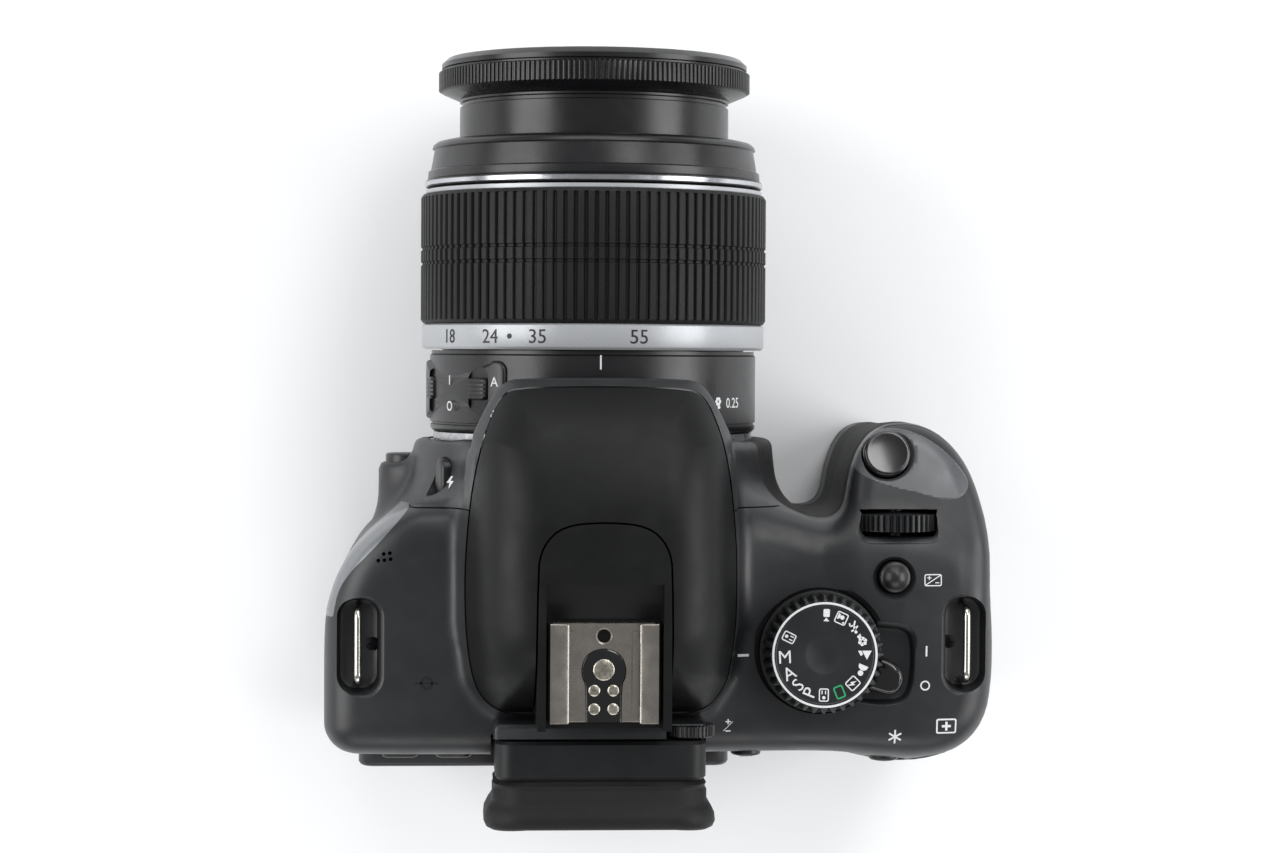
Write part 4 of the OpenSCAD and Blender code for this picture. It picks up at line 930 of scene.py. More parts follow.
rows = [(RUBBER_BACK, 0.0, 0), (RUBBER_BACK - 0.1, 0.55, 0), (RUBBER_BACK - 0.7, 0.95, 0),
        (RUBBER_BACK - 0.9, 1.0, 1)]
SLEEVE = RUBBER_BACK - RUBBER_FRONT
for centre in (0.46, 0.575):
    c = RUBBER_BACK - SLEEVE * centre
    rows += [(c + 0.38, 1.0, 1), (c + 0.22, 0.75, 1), (c - 0.22, 0.75, 1), (c - 0.38, 1.0, 1)]
rows += [(RUBBER_FRONT + 0.9, 1.0, 1), (RUBBER_FRONT + 0.7, 0.95, 0), (RUBBER_FRONT + 0.1, 0.55, 0),
         (RUBBER_FRONT, 0.0, 0)]
n = RIBS * 12
a = ring_points(n)[None, :]
wave = square_wave(a, RIBS, 0.68, 0.22)
r = np.array([[LENS_R - 1.05 + 1.05 * h - (0.62 * g) * (1 - w) for w in wave[0]] for _, h, g in rows])
y = np.array([[row[0]] for row in rows])
skin = np.stack([r * np.sin(a), np.broadcast_to(y, r.shape), AXIS + r * np.cos(a)], -1)
back = np.stack([33.2 * np.sin(a), np.full(a.shape, RUBBER_FRONT), AXIS + 33.2 * np.cos(a)], -1)
front = back.copy()
front[..., 1] = RUBBER_BACK
solid("zoom_rubber_sleeve", np.concatenate([skin, back, front]), "zoom", zoom_rubber, "ring", smooth=32,
      slot="grip_rubber", replaces=("zoom_grip",))

nose = ring_profile([(32.6, NOSE_BACK), (33.3, NOSE_BACK - 0.25), (33.4, NOSE_BACK - 1.5),
                     (32.9, NOSE_BACK - 1.75), (33.0, NOSE_BACK - 1.95), (32.9, NOSE_BACK - 3.3),
                     (32.4, NOSE_BACK - 3.6), (31.7, NOSE_BACK - 7.6), (32.1, NOSE_BACK - 7.9),
                     (31.9, NOSE_FRONT + 0.9), (31.2, NOSE_FRONT + 0.3), (29.9, NOSE_FRONT)],
                    [(27.05, NOSE_BACK), (27.05, NOSE_FRONT)])
solid("front_name_barrel", lathe_y(nose, 220), "body", lens_paint, "ring", slot="lens_black",
      replaces=("front_barrel",))
solid("bright_line_ring", lathe_y(ring_profile([(33.35, NOSE_BACK - 0.3), (33.55, NOSE_BACK - 0.45),
                                                (33.55, NOSE_BACK - 1.25), (33.3, NOSE_BACK - 1.4)],
                                               [(32.9, NOSE_BACK - 0.3), (32.9, NOSE_BACK - 1.4)]), 220),
      "body", bright_ring, "ring", slot="ring_metal")
tube = ring_profile([(26.7, TUBE_BACK), (26.7, TUBE_FRONT + 1.4), (26.2, TUBE_FRONT + 1.2),
                     (26.2, TUBE_FRONT + 0.6), (26.7, TUBE_FRONT + 0.4), (26.7, TUBE_FRONT)],
                    [(24.5, TUBE_BACK), (24.5, TUBE_FRONT)])
solid("sliding_tube", lathe_y(tube, 160), "inner_barrel", tube_paint, "ring", slot="lens_black",
      replaces=("inner_barrel",))

F0 = TUBE_FRONT - 0.2
focus = ring_profile([(26.6, F0), (27.4, F0 - 0.1), (30.2, F0 - 1.3), (30.9, F0 - 1.7), (30.9, F0 - 5.2),
                      (30.5, F0 - 5.4), (29.9, F0 - 5.5), (29.9, F0 - 5.8), (30.3, F0 - 6.0),
                      (30.3, F0 - 6.9), (29.3, FOCUS_FRONT + 0.15), (29.05, FOCUS_FRONT)],
                     [(21.1, F0 + 8), (21.1, F0 - 1.2), (22.2, F0 - 1.5), (22.3, F0 - 2.0),
                      (24.2, F0 - 2.6), (24.3, F0 - 3.0), (26.2, F0 - 3.6), (26.3, F0 - 4.0),
                      (28.3, F0 - 4.5), (28.5, F0 - 4.9), (29.0, F0 - 5.1), (29.0, FOCUS_FRONT)])
knurl = lambda a, row: np.where((row == 3) | (row == 4), -0.32 * (1 - square_wave(a, 190, 0.6, 0.3)), 0)
solid("focus_ring_shell", lathe_y(focus, 190 * 8, ribs=knurl), "focus", tube_paint, "ring", smooth=32,
      slot="lens_black", replaces=("focus_ring",))
solid("focus_ring_core", lathe_y(ring_profile([(24.2, F0 + 9), (24.2, F0 - 0.5)],
                                              [(21.1, F0 + 9), (21.1, F0 - 0.5)]), 96), "focus",
      inner_resin, "ring", slot="lens_black")
solid("thread_turns", lathe_y(ring_profile([(29.0, FOCUS_FRONT + 0.3 + 0.375 * i) if i % 2 else (28.72,
        FOCUS_FRONT + 0.3 + 0.375 * i) for i in range(8)][::-1], [(29.2, FOCUS_FRONT + 3.0),
                                                                  (29.2, FOCUS_FRONT + 0.3)]), 160),
      "focus", tube_paint, "ring", slot="lens_black")

# ---------------------------------------------------------------- dials, keys and switches

# mode dial: dished top in a thin bright ring, skirt knurled with 36 teeth
teeth = lambda a, row: np.where((row >= 1) & (row <= 3), (-0.95 + 0.55 * (row == 3)) * (1 - square_wave(a,
        36, 0.55, 0.6)), 0)
Z0 = DIAL_LO[2] + 6.0
solid("mode_dial_body", lathe_z([(10.2, Z0 + 0.1), (11.2, Z0 + 0.2), (11.2, DIAL_TOP - 1.3),
                                 (10.35, DIAL_TOP - 0.35), (10.1, DIAL_TOP - 0.2), (9.3, DIAL_TOP - 0.15),
                                 (9.1, DIAL_TOP - 0.3), (4.0, DIAL_TOP - 0.31), (3.4, DIAL_TOP - 0.4),
                                 (2.4, DIAL_TOP - 0.75), (0.1, DIAL_TOP - 0.9)], DIAL, 320, teeth),
      "mode_dial", dial_abs, "poles", smooth=35, slot="dial", replaces=("mode_dial",))
solid("mode_dial_ring", lathe_z(ring_profile([(9.55, DIAL_TOP - 0.3), (9.55, DIAL_TOP - 0.08)],
                                             [(9.95, DIAL_TOP - 0.3), (9.95, DIAL_TOP - 0.08)]), DIAL,
                                128), "mode_dial", white_ink, "ring", slot="ring_metal")
solid("mode_dial_stem", lathe_z([(3.0, Z0 - 6), (3.0, Z0 + 0.3)], DIAL, 48), "mode_dial", dial_abs,
      slot="dial")

# power switch: a flat ring under the dial with a teardrop lever that turns up at its tip
SW_Z = corner("power_switch", 0)[2]
lever = math.radians(157)
ax = np.array([math.cos(lever), math.sin(lever), 0])
solid("power_ring", lathe_z(ring_profile([(11.6, SW_Z), (11.75, SW_Z + 0.3), (11.6, SW_Z + 1.3),
                                          (11.2, SW_Z + 1.4)], [(5.1, SW_Z), (5.1, SW_Z + 1.4)]), DIAL,
                            128), "power_switch", dial_abs, "ring", slot="dial",
      replaces=("power_switch",))
tear = soften([(10.4, -3.0), (12.6, -2.8), (15.4, -2.4), (16.7, -0.6), (16.4, 1.8), (14.6, 3.4),
               (12.4, 3.6), (10.4, 3.4)], 2)
g = carry(tear, [(0, 0), (0.1, 0.5), (0.05, 1.7), (-0.25, 2.4), (-0.8, 2.75)])
g[..., 2] += np.clip((g[..., 0] - 11.5) / 4, 0, 1) * 0.9 * (g[..., 2] > 1)
tip = solid("power_lever", turned(g, (DIAL[0], DIAL[1], SW_Z - 0.2), ax, (-ax[1], ax[0], 0), (0, 0, 1)),
            "power_switch", gloss_key, slot="dial")
boolean(tip, [lathe_z([(11.45, SW_Z - 5), (11.45, SW_Z + 20)], DIAL, 96)])


def dome_key(name, node, centre, axes, r, low, rim, rise, mat, dish=0.0, slot="button", body=None):
    """Round push key: straight side, rolled edge, and a top that swells or is dished."""
    prof = [(r, low), (r, rim - 0.5)] + [(r - 0.5 + 0.5 * math.cos(t), rim - 0.5 + 0.5 * math.sin(t))
                                         for t in QUARTER[1:]]
    top_r = r - 0.5
    prof += [(top_r * f, rim + rise * (1 - f * f) - dish * (1 - f * f)) for f in np.linspace(0.93, 0.01, 14)]
    g = lathe_z(prof, (0, 0), 72)
    return solid(name, turned(g, centre, *axes), body or node, mat, "poles", slot=slot, replaces=(node,))


FLAT = ((1, 0, 0), (0, 1, 0), (0, 0, 1))
dome_key("shutter_key", "shutter_button", (PRESS[0], PRESS[1], PRESS_Z), tilt, 4.5, -4, 1.0, 0.35,
         gloss_key, 0.55)
dome_key("iso_key", "iso_button", (ISO[0], ISO[1], iso_z), FLAT, 3.0, -3, 0.6, 1.35, key_abs)

# front wheel: 40 broad teeth, edges rolled
cog = lambda a, row: np.where((row >= 1) & (row <= 2), -0.75 * (1 - square_wave(a, 40, 0.6, 0.5)), 0)
wy0, wy1 = WHEEL_Y
WR = WHEEL_HI[2] - WHEEL[1]
solid("front_wheel", lathe_y([(2.0, wy1), (WR - 0.02, wy1 - 0.5), (WR - 0.02, wy0 + 0.5), (2.0, wy0)],
                             480, (WHEEL[0], WHEEL[1]), cog), "main_dial", dial_abs, smooth=30,
      slot="dial", replaces=("main_dial",))
solid("front_wheel_shaft", lathe_y([(1.5, wy1 + 2), (1.5, wy0 - 2)], 32, (WHEEL[0], WHEEL[1])),
      "main_dial", dial_abs, slot="ring_metal")

# flash button on the collar's side, lens release on its boss
fl_lo, fl_hi = corner("flash_button", 0), corner("flash_button", 1)
fl_axis = np.array([math.cos(math.radians(19.4)), 0, math.sin(math.radians(19.4))])
fl_c = (fl_lo + fl_hi) / 2 + [1.6, 0.8, -4.8]
t = np.linspace(-9, 9, 400)
along = fl_c + t[:, None] * fl_axis
t0 = float(t[np.argmin(np.abs(body_form(along[:, 0], along[:, 1], along[:, 2])))])
fl_c = fl_c + t0 * fl_axis
fl_axes = (np.array([0, -1.0, 0]), np.array([-fl_axis[2], 0, fl_axis[0]]), fl_axis)
oval = turned(carry(rounded(7.2, 4.6, 2.25, 10), [(0, -1.1), (0, 0.2), (-0.2, 0.55), (-0.7, 0.75),
                                                  (-1.5, 0.7)]), fl_c, *fl_axes)
solid("flash_key", oval, "flash_button", key_abs, "poles", slot="black_shell", replaces=("flash_button",))
boolean(outer, [turned(carry(rounded(7.2, 4.6, 2.25, 10), [(0.18, -4), (0.18, 4)]), fl_c, *fl_axes)])
rb_lo, rb_hi = corner("lens_release_button", 0), corner("lens_release_button", 1)
rb_c = ((rb_lo[0] + rb_hi[0]) / 2, rb_hi[1], (rb_lo[2] + rb_hi[2]) / 2)
FRONT = ((1, 0, 0), (0, 0, 1), (0, -1, 0))
BACK = ((-1, 0, 0), (0, 0, 1), (0, 1, 0))
dome_key("release_key", "lens_release_button", rb_c, FRONT, 4.2, 0, rb_hi[1] - rb_lo[1], 0.3, key_abs,
         0.5, "black_shell")

# keys on the back
for node in ("menu_button", "display_button"):
    lo, hi = corner(node, 0), corner(node, 1)
    h = hi[1] - lo[1]
    solid(node.replace("button", "key"), turned(carry(rounded(7.0, 3.6, 1.75, 8),
                                                      [(0, 0), (0, h - 0.5), (-0.2, h - 0.15),
                                                       (-0.6, h)]), ((lo[0] + hi[0]) / 2, lo[1],
            (lo[2] + hi[2]) / 2), *BACK), node, key_abs, slot="black_shell", replaces=(node,))
for node in ("live_view_button", "ae_lock_button", "af_point_button", "exposure_button",
             "playback_button", "erase_button"):
    lo, hi = corner(node, 0), corner(node, 1)
    dome_key(node.replace("button", "key"), node, ((lo[0] + hi[0]) / 2, lo[1], (lo[2] + hi[2]) / 2), BACK,
             (hi[0] - lo[0]) / 2, 0, hi[1] - lo[1] - 0.35, 0.35, key_abs, slot="black_shell")
lo, hi = corner("set_button", 0), corner("set_button", 1)
PAD = ((lo[0] + hi[0]) / 2, (lo[2] + hi[2]) / 2)
dome_key("set_key", "set_button", (PAD[0], lo[1], PAD[1]), BACK, 3.6, 0, hi[1] - lo[1] - 0.2, 0.2,
         key_abs, 0.3, "black_shell")
lo, hi = corner("cross_keys", 0), corner("cross_keys", 1)
quad = lambda a, row: np.where((row >= 0) & (row <= 4), 0.55 * np.cos(4 * a) - 0.55, 0)
pad = lathe_z(ring_profile([(10.2, 0), (10.2, hi[1] - lo[1] - 0.8), (9.8, hi[1] - lo[1] - 0.25),
                            (9.2, hi[1] - lo[1])], [(3.9, 0), (3.9, hi[1] - lo[1] - 0.5)]), (0, 0), 160,
              quad)
pad_face = hi[1] - 0.03
solid("four_way_pad", turned(pad, (PAD[0], lo[1], PAD[1]), *BACK), "cross_keys", key_abs, "ring",
      slot="black_shell", replaces=("cross_keys",))

# viewfinder adjustment wheel
dl, dh = corner("diopter_dial", 0), corner("diopter_dial", 1)
dc = ((dl[0] + dh[0]) / 2, (dl[2] + dh[2]) / 2)
fine = lambda a, row: np.where((row == 1) | (row == 2), -0.3 * (1 - square_wave(a, 36, 0.6, 0.4)), 0)
solid("eyesight_wheel", lathe_y([(4.2, dh[1] - 2.4), (4.5, dh[1] - 2.2), (4.5, dh[1] - 0.3),
                                 (4.2, dh[1] - 0.1)], 288, dc, fine), "diopter_dial", dial_abs, smooth=30,
      slot="dial", replaces=("diopter_dial",))

# ---------------------------------------------------------------- accessory shoe

S0, S1 = corner("hot_shoe", 0), corner("hot_shoe", 1)
SHOE_Z = S0[2]
boolean(shoe_block, [carry(rounded(21.4, 34, 1.2, 6) + [0, S0[1] - 0.6 + 17],
                           [(0, SHOE_Z), (0, 97), (0, 120)]), wedge([(-6.4, SHOE_Z + 6),
        (-6.4, SHOE_Z + 2.6), (1.0, SHOE_Z), (3, SHOE_Z), (3, SHOE_Z + 6)], -10.7, 10.7)])
rail = [(-10.3, 0), (10.3, 0), (10.3, 3.2), (9.9, 3.7), (7.0, 3.7), (6.5, 3.45), (6.5, 3.1), (6.8, 2.9),
        (9.3, 2.9), (9.3, 0.8), (-9.3, 0.8), (-9.3, 2.9), (-6.8, 2.9), (-6.5, 3.1), (-6.5, 3.45),
        (-7.0, 3.7), (-9.9, 3.7), (-10.3, 3.2)]
g = carry(rail, [(-0.12, 0), (0, 0.15), (0, S1[1] - S0[1] - 0.15), (-0.12, S1[1] - S0[1])])
shoe = solid("shoe_rails", turned(g, (0, S1[1], SHOE_Z), (1, 0, 0), (0, 0, 1), (0, -1, 0)), "body",
             shoe_nickel, smooth=30, slot="shoe_metal", replaces=("hot_shoe",))
plug = soften([(-3.3, 24), (-3.3, 12.4), (-4.0, 11.2), (-4.2, 9.2), (-3.2, 6.6), (0, 5.4), (3.2, 6.6),
               (4.2, 9.2), (4.0, 11.2), (3.3, 12.4), (3.3, 24)], 2)
boolean(shoe, [carry(plug, [(0, SHOE_Z - 1), (0, SHOE_Z + 2)]), lathe_z([(1.25, SHOE_Z - 1),
        (1.25, SHOE_Z + 2)], (0, S0[1] + 2.4), 32), box_grid((-6.55, S0[1] + 3.4, SHOE_Z + 2.6),
                                                             (-6.2, S1[1] - 3, SHOE_Z + 6))])
for sx in (-1, 1):
    # leaf spring under each lip, bowed in the middle
    u = np.linspace(0, 1, 24)
    y = S0[1] + 1.5 + u * (S1[1] - S0[1] - 3)
    lift = 0.35 * np.sin(u * np.pi) ** 2
    strip = np.stack([np.stack([np.full_like(y, x), y, SHOE_Z + 0.95 + lift + dz], -1) for x, dz in
                      ((sx * 9.0, 0), (sx * 5.2, 0), (sx * 5.2, 0.22), (sx * 9.0, 0.22))], 1)
    solid("shoe_spring_" + ("l" if sx > 0 else "r"), strip, "body", shoe_nickel, smooth=30, slot="shoe_metal")
contact_bed = solid("contact_bed", carry(plug, [(-0.15, SHOE_Z - 0.6), (-0.15, SHOE_Z + 0.72),
                                                (-0.4, SHOE_Z + 0.85)]), "body", gloss_key,
                    slot="contact_plate", replaces=("shoe_contacts",))
boolean(contact_bed, [box_grid((-10, S1[1], 60), (10, 90, 130))])
for i, (x, y, r) in enumerate([(0, 9.6, 1.95), (-1.75, 13.4, 1.05), (1.75, 13.4, 1.05),
                               (-1.75, 16.8, 1.05), (1.75, 16.8, 1.05)]):
    solid(f"contact_{i}", lathe_z([(r, SHOE_Z), (r, SHOE_Z + 0.95), (r - 0.25, SHOE_Z + 1.1),
                                   (0.05, SHOE_Z + 1.13)], (x, y), 40), "body", brass_pin, "poles",
          slot="ring_metal")
solid("lock_hole", lathe_z(ring_profile([(1.6, SHOE_Z + 0.75), (1.55, SHOE_Z + 0.95),
                                         (1.25, SHOE_Z + 0.85)], [(1.6, SHOE_Z + 0.7)]), (0, S0[1] + 2.4),
                           40), "body", shoe_nickel, "ring", slot="shoe_metal")

# ---------------------------------------------------------------- strap bars


def bar_path(points, r, sides=16, steps=10):
    """Round bar carried along a path, with its corners eased; rings stand square to the way it runs."""
    p = np.asarray(points, float)
    out = [p[0]]
    for i in range(1, len(p) - 1):
        a, b, c = p[i - 1], p[i], p[i + 1]
        ra, rc = min(2.2, np.linalg.norm(b - a) * 0.45), min(2.2, np.linalg.norm(c - b) * 0.45)
        s, e = b + (a - b) / np.linalg.norm(a - b) * ra, b + (c - b) / np.linalg.norm(c - b) * rc
        t = np.linspace(0, 1, steps)[:, None]
        out += list((1 - t) ** 2 * s + 2 * t * (1 - t) * b + t ** 2 * e)
    out = np.array(out + [p[-1]])
    d = np.gradient(out, axis=0)
    d /= np.linalg.norm(d, axis=1, keepdims=True)
    side = np.array([1.0, 0, 0])
    up = np.cross(d, side)
    up /= np.linalg.norm(up, axis=1, keepdims=True)
    ang = ring_points(sides)[None, :, None]
    return out[:, None] + r * (np.cos(ang) * side + np.sin(ang) * up[:, None])


for side, (x, y, z) in LUG.items():
    path = [(x, y - 6.9, z - 6.9), (x, y - 6.9, z - 0.8), (x, y + 6.9, z - 0.8), (x, y + 6.9, z - 6.9)]
    bar = solid("strap_bar_" + side, bar_path(path, 0.68), "body", lug_chrome, slot="lug_metal")
    sx = x - 2.6 if x > 0 else x + 2.6
    head = solid("strap_screw_" + side, lathe_z([(1.25, z - 6.9), (1.25, z - 6.3), (1.0, z - 6.1),
                                                 (0.05, z - 6.05)], (sx, y), 32), "body", screw_black,
                 "poles", slot="screw_metal")
    boolean(head, [box_grid((sx - 0.9, y - 0.14, z - 6.35), (sx + 0.9, y + 0.14, z)),
                   box_grid((sx - 0.14, y - 0.9, z - 6.35), (sx + 0.14, y + 0.9, z))])
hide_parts("strap_lugs")

# ---------------------------------------------------------------- eyepiece, back and doors

E0, E1 = corner("eyepiece_frame", 0), corner("eyepiece_frame", 1)
eye_z = (E0[2] + E1[2]) / 2
win = rounded(22, 13, 2, 8)
frame_o = rounded(39.4, 23.6, 3.5, 8)
g = carry(frame_o, [(-0.6, 0), (0, 0.6), (0, E1[1] - E0[1] - 0.5), (-0.5, E1[1] - E0[1])])
eyepiece = solid("eyepiece_housing", turned(g, (0, E0[1], eye_z), *BACK), "body", eyepiece_abs,
                 slot="inner_frame", replaces=("eyepiece_frame",))
boolean(eyepiece, [turned(prism(win, -2, 30), (0, E0[1], eye_z), *BACK)])
C0, C1 = corner("eyecup", 0), corner("eyecup", 1)
depth = C1[1] - C0[1]
cup_o = rounded(40.6, 24, 6.5, 10)
prof = [(-1.2, 0), (-0.9, 0.5), (-0.3, 1.1), (-0.5, 1.5), (-0.5, 2.0), (-0.2, 2.4), (-0.2, 4.2),
        (0.6, 5.4), (1.3, 6.8), (1.45, 8.2), (1.0, 9.2), (0.0, 9.8), (-1.2, depth), (-2.6, depth - 0.2),
        (-3.6, depth - 0.9)]
g = carry(cup_o, prof)
bow = 1.1 * (1 - np.clip(np.abs(g[..., 0]) / 21, 0, 1) ** 2) * np.clip((g[..., 2] - 5) / 5, 0, 1)
g[..., 2] -= bow
cup = solid("eyecup_moulding", turned(g, (0, C0[1], eye_z), *BACK), "body", cup_rubber, "poles",
            smooth=50, slot="rubber", replaces=("eyecup",))
boolean(cup, [turned(carry(win, [(0, -2), (0, 5), (2.0, 7.5), (3.4, 11), (3.6, 14)]), (0, C0[1], eye_z),
                     *BACK)])

# screen frame stands out of the back, with a soft edge all round
R1 = corner("screen_window", 1)
R0 = corner("screen_window", 0)
sx, sz = (R0[0] + R1[0]) / 2, (R0[2] + R1[2]) / 2
SW, SH = R1[0] - R0[0] + 3.2, R1[2] - R0[2] + 3.2
back = float(R1[1])
bezel = carry(rounded(SW, SH, 3.2, 8), [(0, -3.2), (0, 3.2), (-0.35, 3.75), (-0.9, 4.0)])
bezel = turned(bezel, (sx, back - 4.0, sz), *BACK)
rear_frame = solid("screen_bezel", bezel, "body", shell_abs, slot="black_shell")
boolean(rear_frame, [turned(prism(rounded(SW - 3.1, SH - 3.1, 2.1, 8), 2.4, 9), (sx, back - 4.0, sz), *BACK)])

tunnels = [turned(prism(rounded(SW - 1, SH - 1, 3, 8), -1.2, 3), (sx, back - 4.0, sz), *BACK)]
for node in ("menu_button", "display_button", "live_view_button", "ae_lock_button", "af_point_button",
             "exposure_button", "playback_button", "erase_button"):
    lo, hi = corner(node, 0), corner(node, 1)
    c = ((lo[0] + hi[0]) / 2, (lo[2] + hi[2]) / 2)
    if node in ("menu_button", "display_button"):
        tunnels.append(turned(carry(rounded(7.0, 3.6, 1.75, 8), [(0.25, -9), (0.25, 30)]),
                              (c[0], hi[1] - 2, c[1]), *BACK))
        continue
    tunnels.append(lathe_y([(3.2, 20), (3.2, hi[1] - 1.5), (4.4, hi[1] - 0.3), (4.6, 60)], 48, c))
pad_cut = lathe_y([(10.6, 26.6), (10.6, 60)], 96, PAD)
pad_core = lathe_y([(3.9, 20), (3.9, 60)], 48, PAD)
port = corner("terminal_cover", 0), corner("terminal_cover", 1)
card = corner("card_door", 0), corner("card_door", 1)
port_cut = box_grid((LEFT - 8, port[0][1] - DOOR_GAP, port[0][2] - DOOR_GAP),
                    (LEFT + 9, port[1][1] + DOOR_GAP, port[1][2] + DOOR_GAP))
card_cut = box_grid((RIGHT - 9, card[0][1] - DOOR_GAP, card[0][2] - DOOR_GAP),
                    (RIGHT + 9, card[1][1] + DOOR_GAP, card[1][2] + DOOR_GAP))
skin_for_doors = copy_piece(rear, "door_source")
eye_cut = turned(carry(frame_o, [(0.4, -0.3), (0.4, 30)]), (0, E0[1], eye_z), *BACK)
boolean(rear, tunnels + [pad_cut, pad_core, port_cut, card_cut, eye_cut])
boolean(top, tunnels[1:] + [eye_cut])
boolean(outer, [card_cut])
flap = copy_piece(skin_for_doors, "terminal_flap")
boolean(flap, [box_grid((LEFT - 1.9, port[0][1], port[0][2]), (LEFT + 9, port[1][1], port[1][2]))],
        "INTERSECT")
door = copy_piece(skin_for_doors, "card_hatch")
boolean(door, [box_grid((RIGHT - 9, card[0][1] + 1, card[0][2]), (RIGHT + 1.9, card[1][1], card[1][2]))],
        "INTERSECT")
bpy.data.objects.remove(skin_for_doors)
for piece, mat, body, slot_name in ((flap, door_rubber, "terminal_cover", "rubber"),
                                    (door, shell_abs, "card_door", "black_shell")):
    piece.data.materials.clear()
    piece.data.materials.append(mat)
    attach(piece, body)
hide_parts("terminal_cover")
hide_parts("card_door")

# base: tripod bush, battery hatch, latch and screw seats are cut from the bottom cover
bd = corner("battery_door", 0), corner("battery_door", 1)
bl = corner("battery_latch", 0), corner("battery_latch", 1)
seats = [lathe_z([(5.6, -5), (5.6, 20)], (0, 0), 64),
         box_grid((bd[0][0] - 0.3, bd[0][1] - 0.3, -5), (bd[1][0] + 0.3, bd[1][1] + 0.3, 20)),
         box_grid((bl[0][0] - 0.3, bl[0][1] - 0.3, -5), (bl[1][0] + 2.4, bl[1][1] + 0.3, 1.75))]
BASE_SCREWS = [(LEFT - 8, 20), (LEFT - 9, -6), (18, -15.5), (-18, -15.5), (RIGHT + 34, 20), (12, 21)]
seats += [lathe_z([(2.3, -5), (2.3, 1.5)], place, 32) for place in BASE_SCREWS]
boolean(bottom, seats)
for i, (x, y) in enumerate(BASE_SCREWS):
    head = solid(f"base_screw_{i}", lathe_z([(0.05, 0.32), (1.6, 0.34), (2.1, 0.6), (2.1, 1.5),
                                             (0.05, 1.5)], (x, y), 40), "body", screw_black, "poles",
                 slot="screw_metal")
    boolean(head, [box_grid((x - 1.3, y - 0.2, -1), (x + 1.3, y + 0.2, 0.9)),
                   box_grid((x - 0.2, y - 1.3, -1), (x + 0.2, y + 1.3, 0.9))])
    if i == 0:
        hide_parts("screws")
for i, q in enumerate(np.radians([35, 145, 215, 325])):
    solid(f"ring_screw_{i}", lathe_y([(0.05, FLANGE + 0.9), (1.7, FLANGE + 0.9), (1.7, FLANGE + 2.4),
                                      (0.05, FLANGE + 2.4)], 32, (RING_SCREWS_R * math.cos(q),
                                                                  AXIS + RING_SCREWS_R * math.sin(q))),
          "body", screw_black, "poles", slot="screw_metal")

# deck under the flash: floor, cap over the pentamirror, hinge ears and arms
floor = grown(FLASH_PLAN, -0.35)
deck = solid("flash_well", carry(floor, [(0, 73.4), (0, 76.0), (-0.4, 76.4)]), "body", inner_resin,
             slot="black_shell")
boolean(deck, [box_grid((-15.2, -17.6, 60), (15.2, 13, 100)), box_grid((-16.4, -60, 60), (16.4, -29, 76.0)),
               box_grid((-30, 23, 60), (30, 60, 100)),
               box_grid((12.3, 1.0, 60), (40, 20.4, 100)), box_grid((-40, 1.0, 60), (-12.3, 20.4, 100))])
for sx, side in ((1, "l"), (-1, "r")):
    solid("tail_pocket_" + side, carry(rounded(14, 18.6, 1) + [sx * 19.6, 11.2], [(0, 70.6), (0, 71.6)]),
          "body", inner_resin, slot="black_shell")
cap = solid("prism_cap", carry(rounded(33, 22.6, 3, 6) + [0, -7.5],
                               [(0, 73.4), (0, 83.2), (-0.8, 84.8), (-2.2, 85.2)]), "body", inner_resin,
            slot="black_shell")
boolean(cap, [carry(rounded(30.4, 20.2, 2, 6) + [0, -7.5], [(0, 60), (0, 84)])])
for sx, side in ((1, "l"), (-1, "r")):
    arm = lathe_z([(0.3, 0), (4.6, 0), (4.6, 2.2), (0.3, 2.2)], (0, 0), 48)
    arm = turned(arm, (sx * 13.0, HINGE_Y, HINGE_Z), (0, 1, 0), (0, 0, 1), (sx, 0, 0))
    solid("flash_arm_" + side, arm, "flash", inner_resin, "poles", slot="black_shell")
for piece, node in ((hump, "flash_head"), (outer, "front_cover"), (top, "top_cover"), (rear, "rear_cover"),
                    (bottom, "bottom_cover"), (grip_rubber, "grip_rubber"), (trim, "side_trim")):
    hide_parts(node)
for piece in (outer, top, rear, bottom, hump, grip_rubber, trim, shoe_block):
    piece.data.shade_smooth()
    piece.data.set_sharp_from_angle(angle=math.radians(32))

# ---------------------------------------------------------------- printed marks (generic figures and symbols)


def figures(words, height, thick=PRINT):
    """Figures from the built-in font, made a mesh: vertices in mm about the middle of the word, and faces."""
    curve = bpy.data.curves.new("figures", "FONT")
    curve.body, curve.size, curve.extrude, curve.resolution_u = words, height / 0.72, thick / 2, 3
    curve.align_x, curve.align_y = "CENTER", "CENTER"
    obj = bpy.data.objects.new("figures", curve)
    bpy.context.scene.collection.objects.link(obj)
    me = bpy.data.meshes.new_from_object(obj.evaluated_get(bpy.context.evaluated_depsgraph_get()))
    v = np.array([q.co[:] for q in me.vertices])
    v[:, 2] += thick / 2
    v[:, :2] -= (v[:, :2].min(0) + v[:, :2].max(0)) / 2
    v, same = np.unique(np.round(v, 5), axis=0, return_inverse=True)
    same = same.reshape(-1)
    faces = [same[np.array(q.vertices[:])][None] for q in me.polygons]
    bpy.data.objects.remove(obj)
    bpy.data.curves.remove(curve)
    bpy.data.meshes.remove(me)
    return v, faces


def plate(outline, thick=PRINT):
    """Thin plate with a given outline."""
    return tube_mesh(carry(outline, [(0, 0), (0, thick)]))


def disc(x, y, r, n=20):
    """Round dot."""
    return plate(circle(r, n) + [x, y])


def loop_plate(outer_line, inner_line, thick=PRINT):
    """Thin plate between two outlines with the same number of points."""
    a, b = np.asarray(outer_line), np.asarray(inner_line)
    rows = [(a, 0), (a, thick), (b, thick), (b, 0)]
    return tube_mesh(np.stack([np.column_stack([q, np.full(len(q), z)]) for q, z in rows]), "ring")


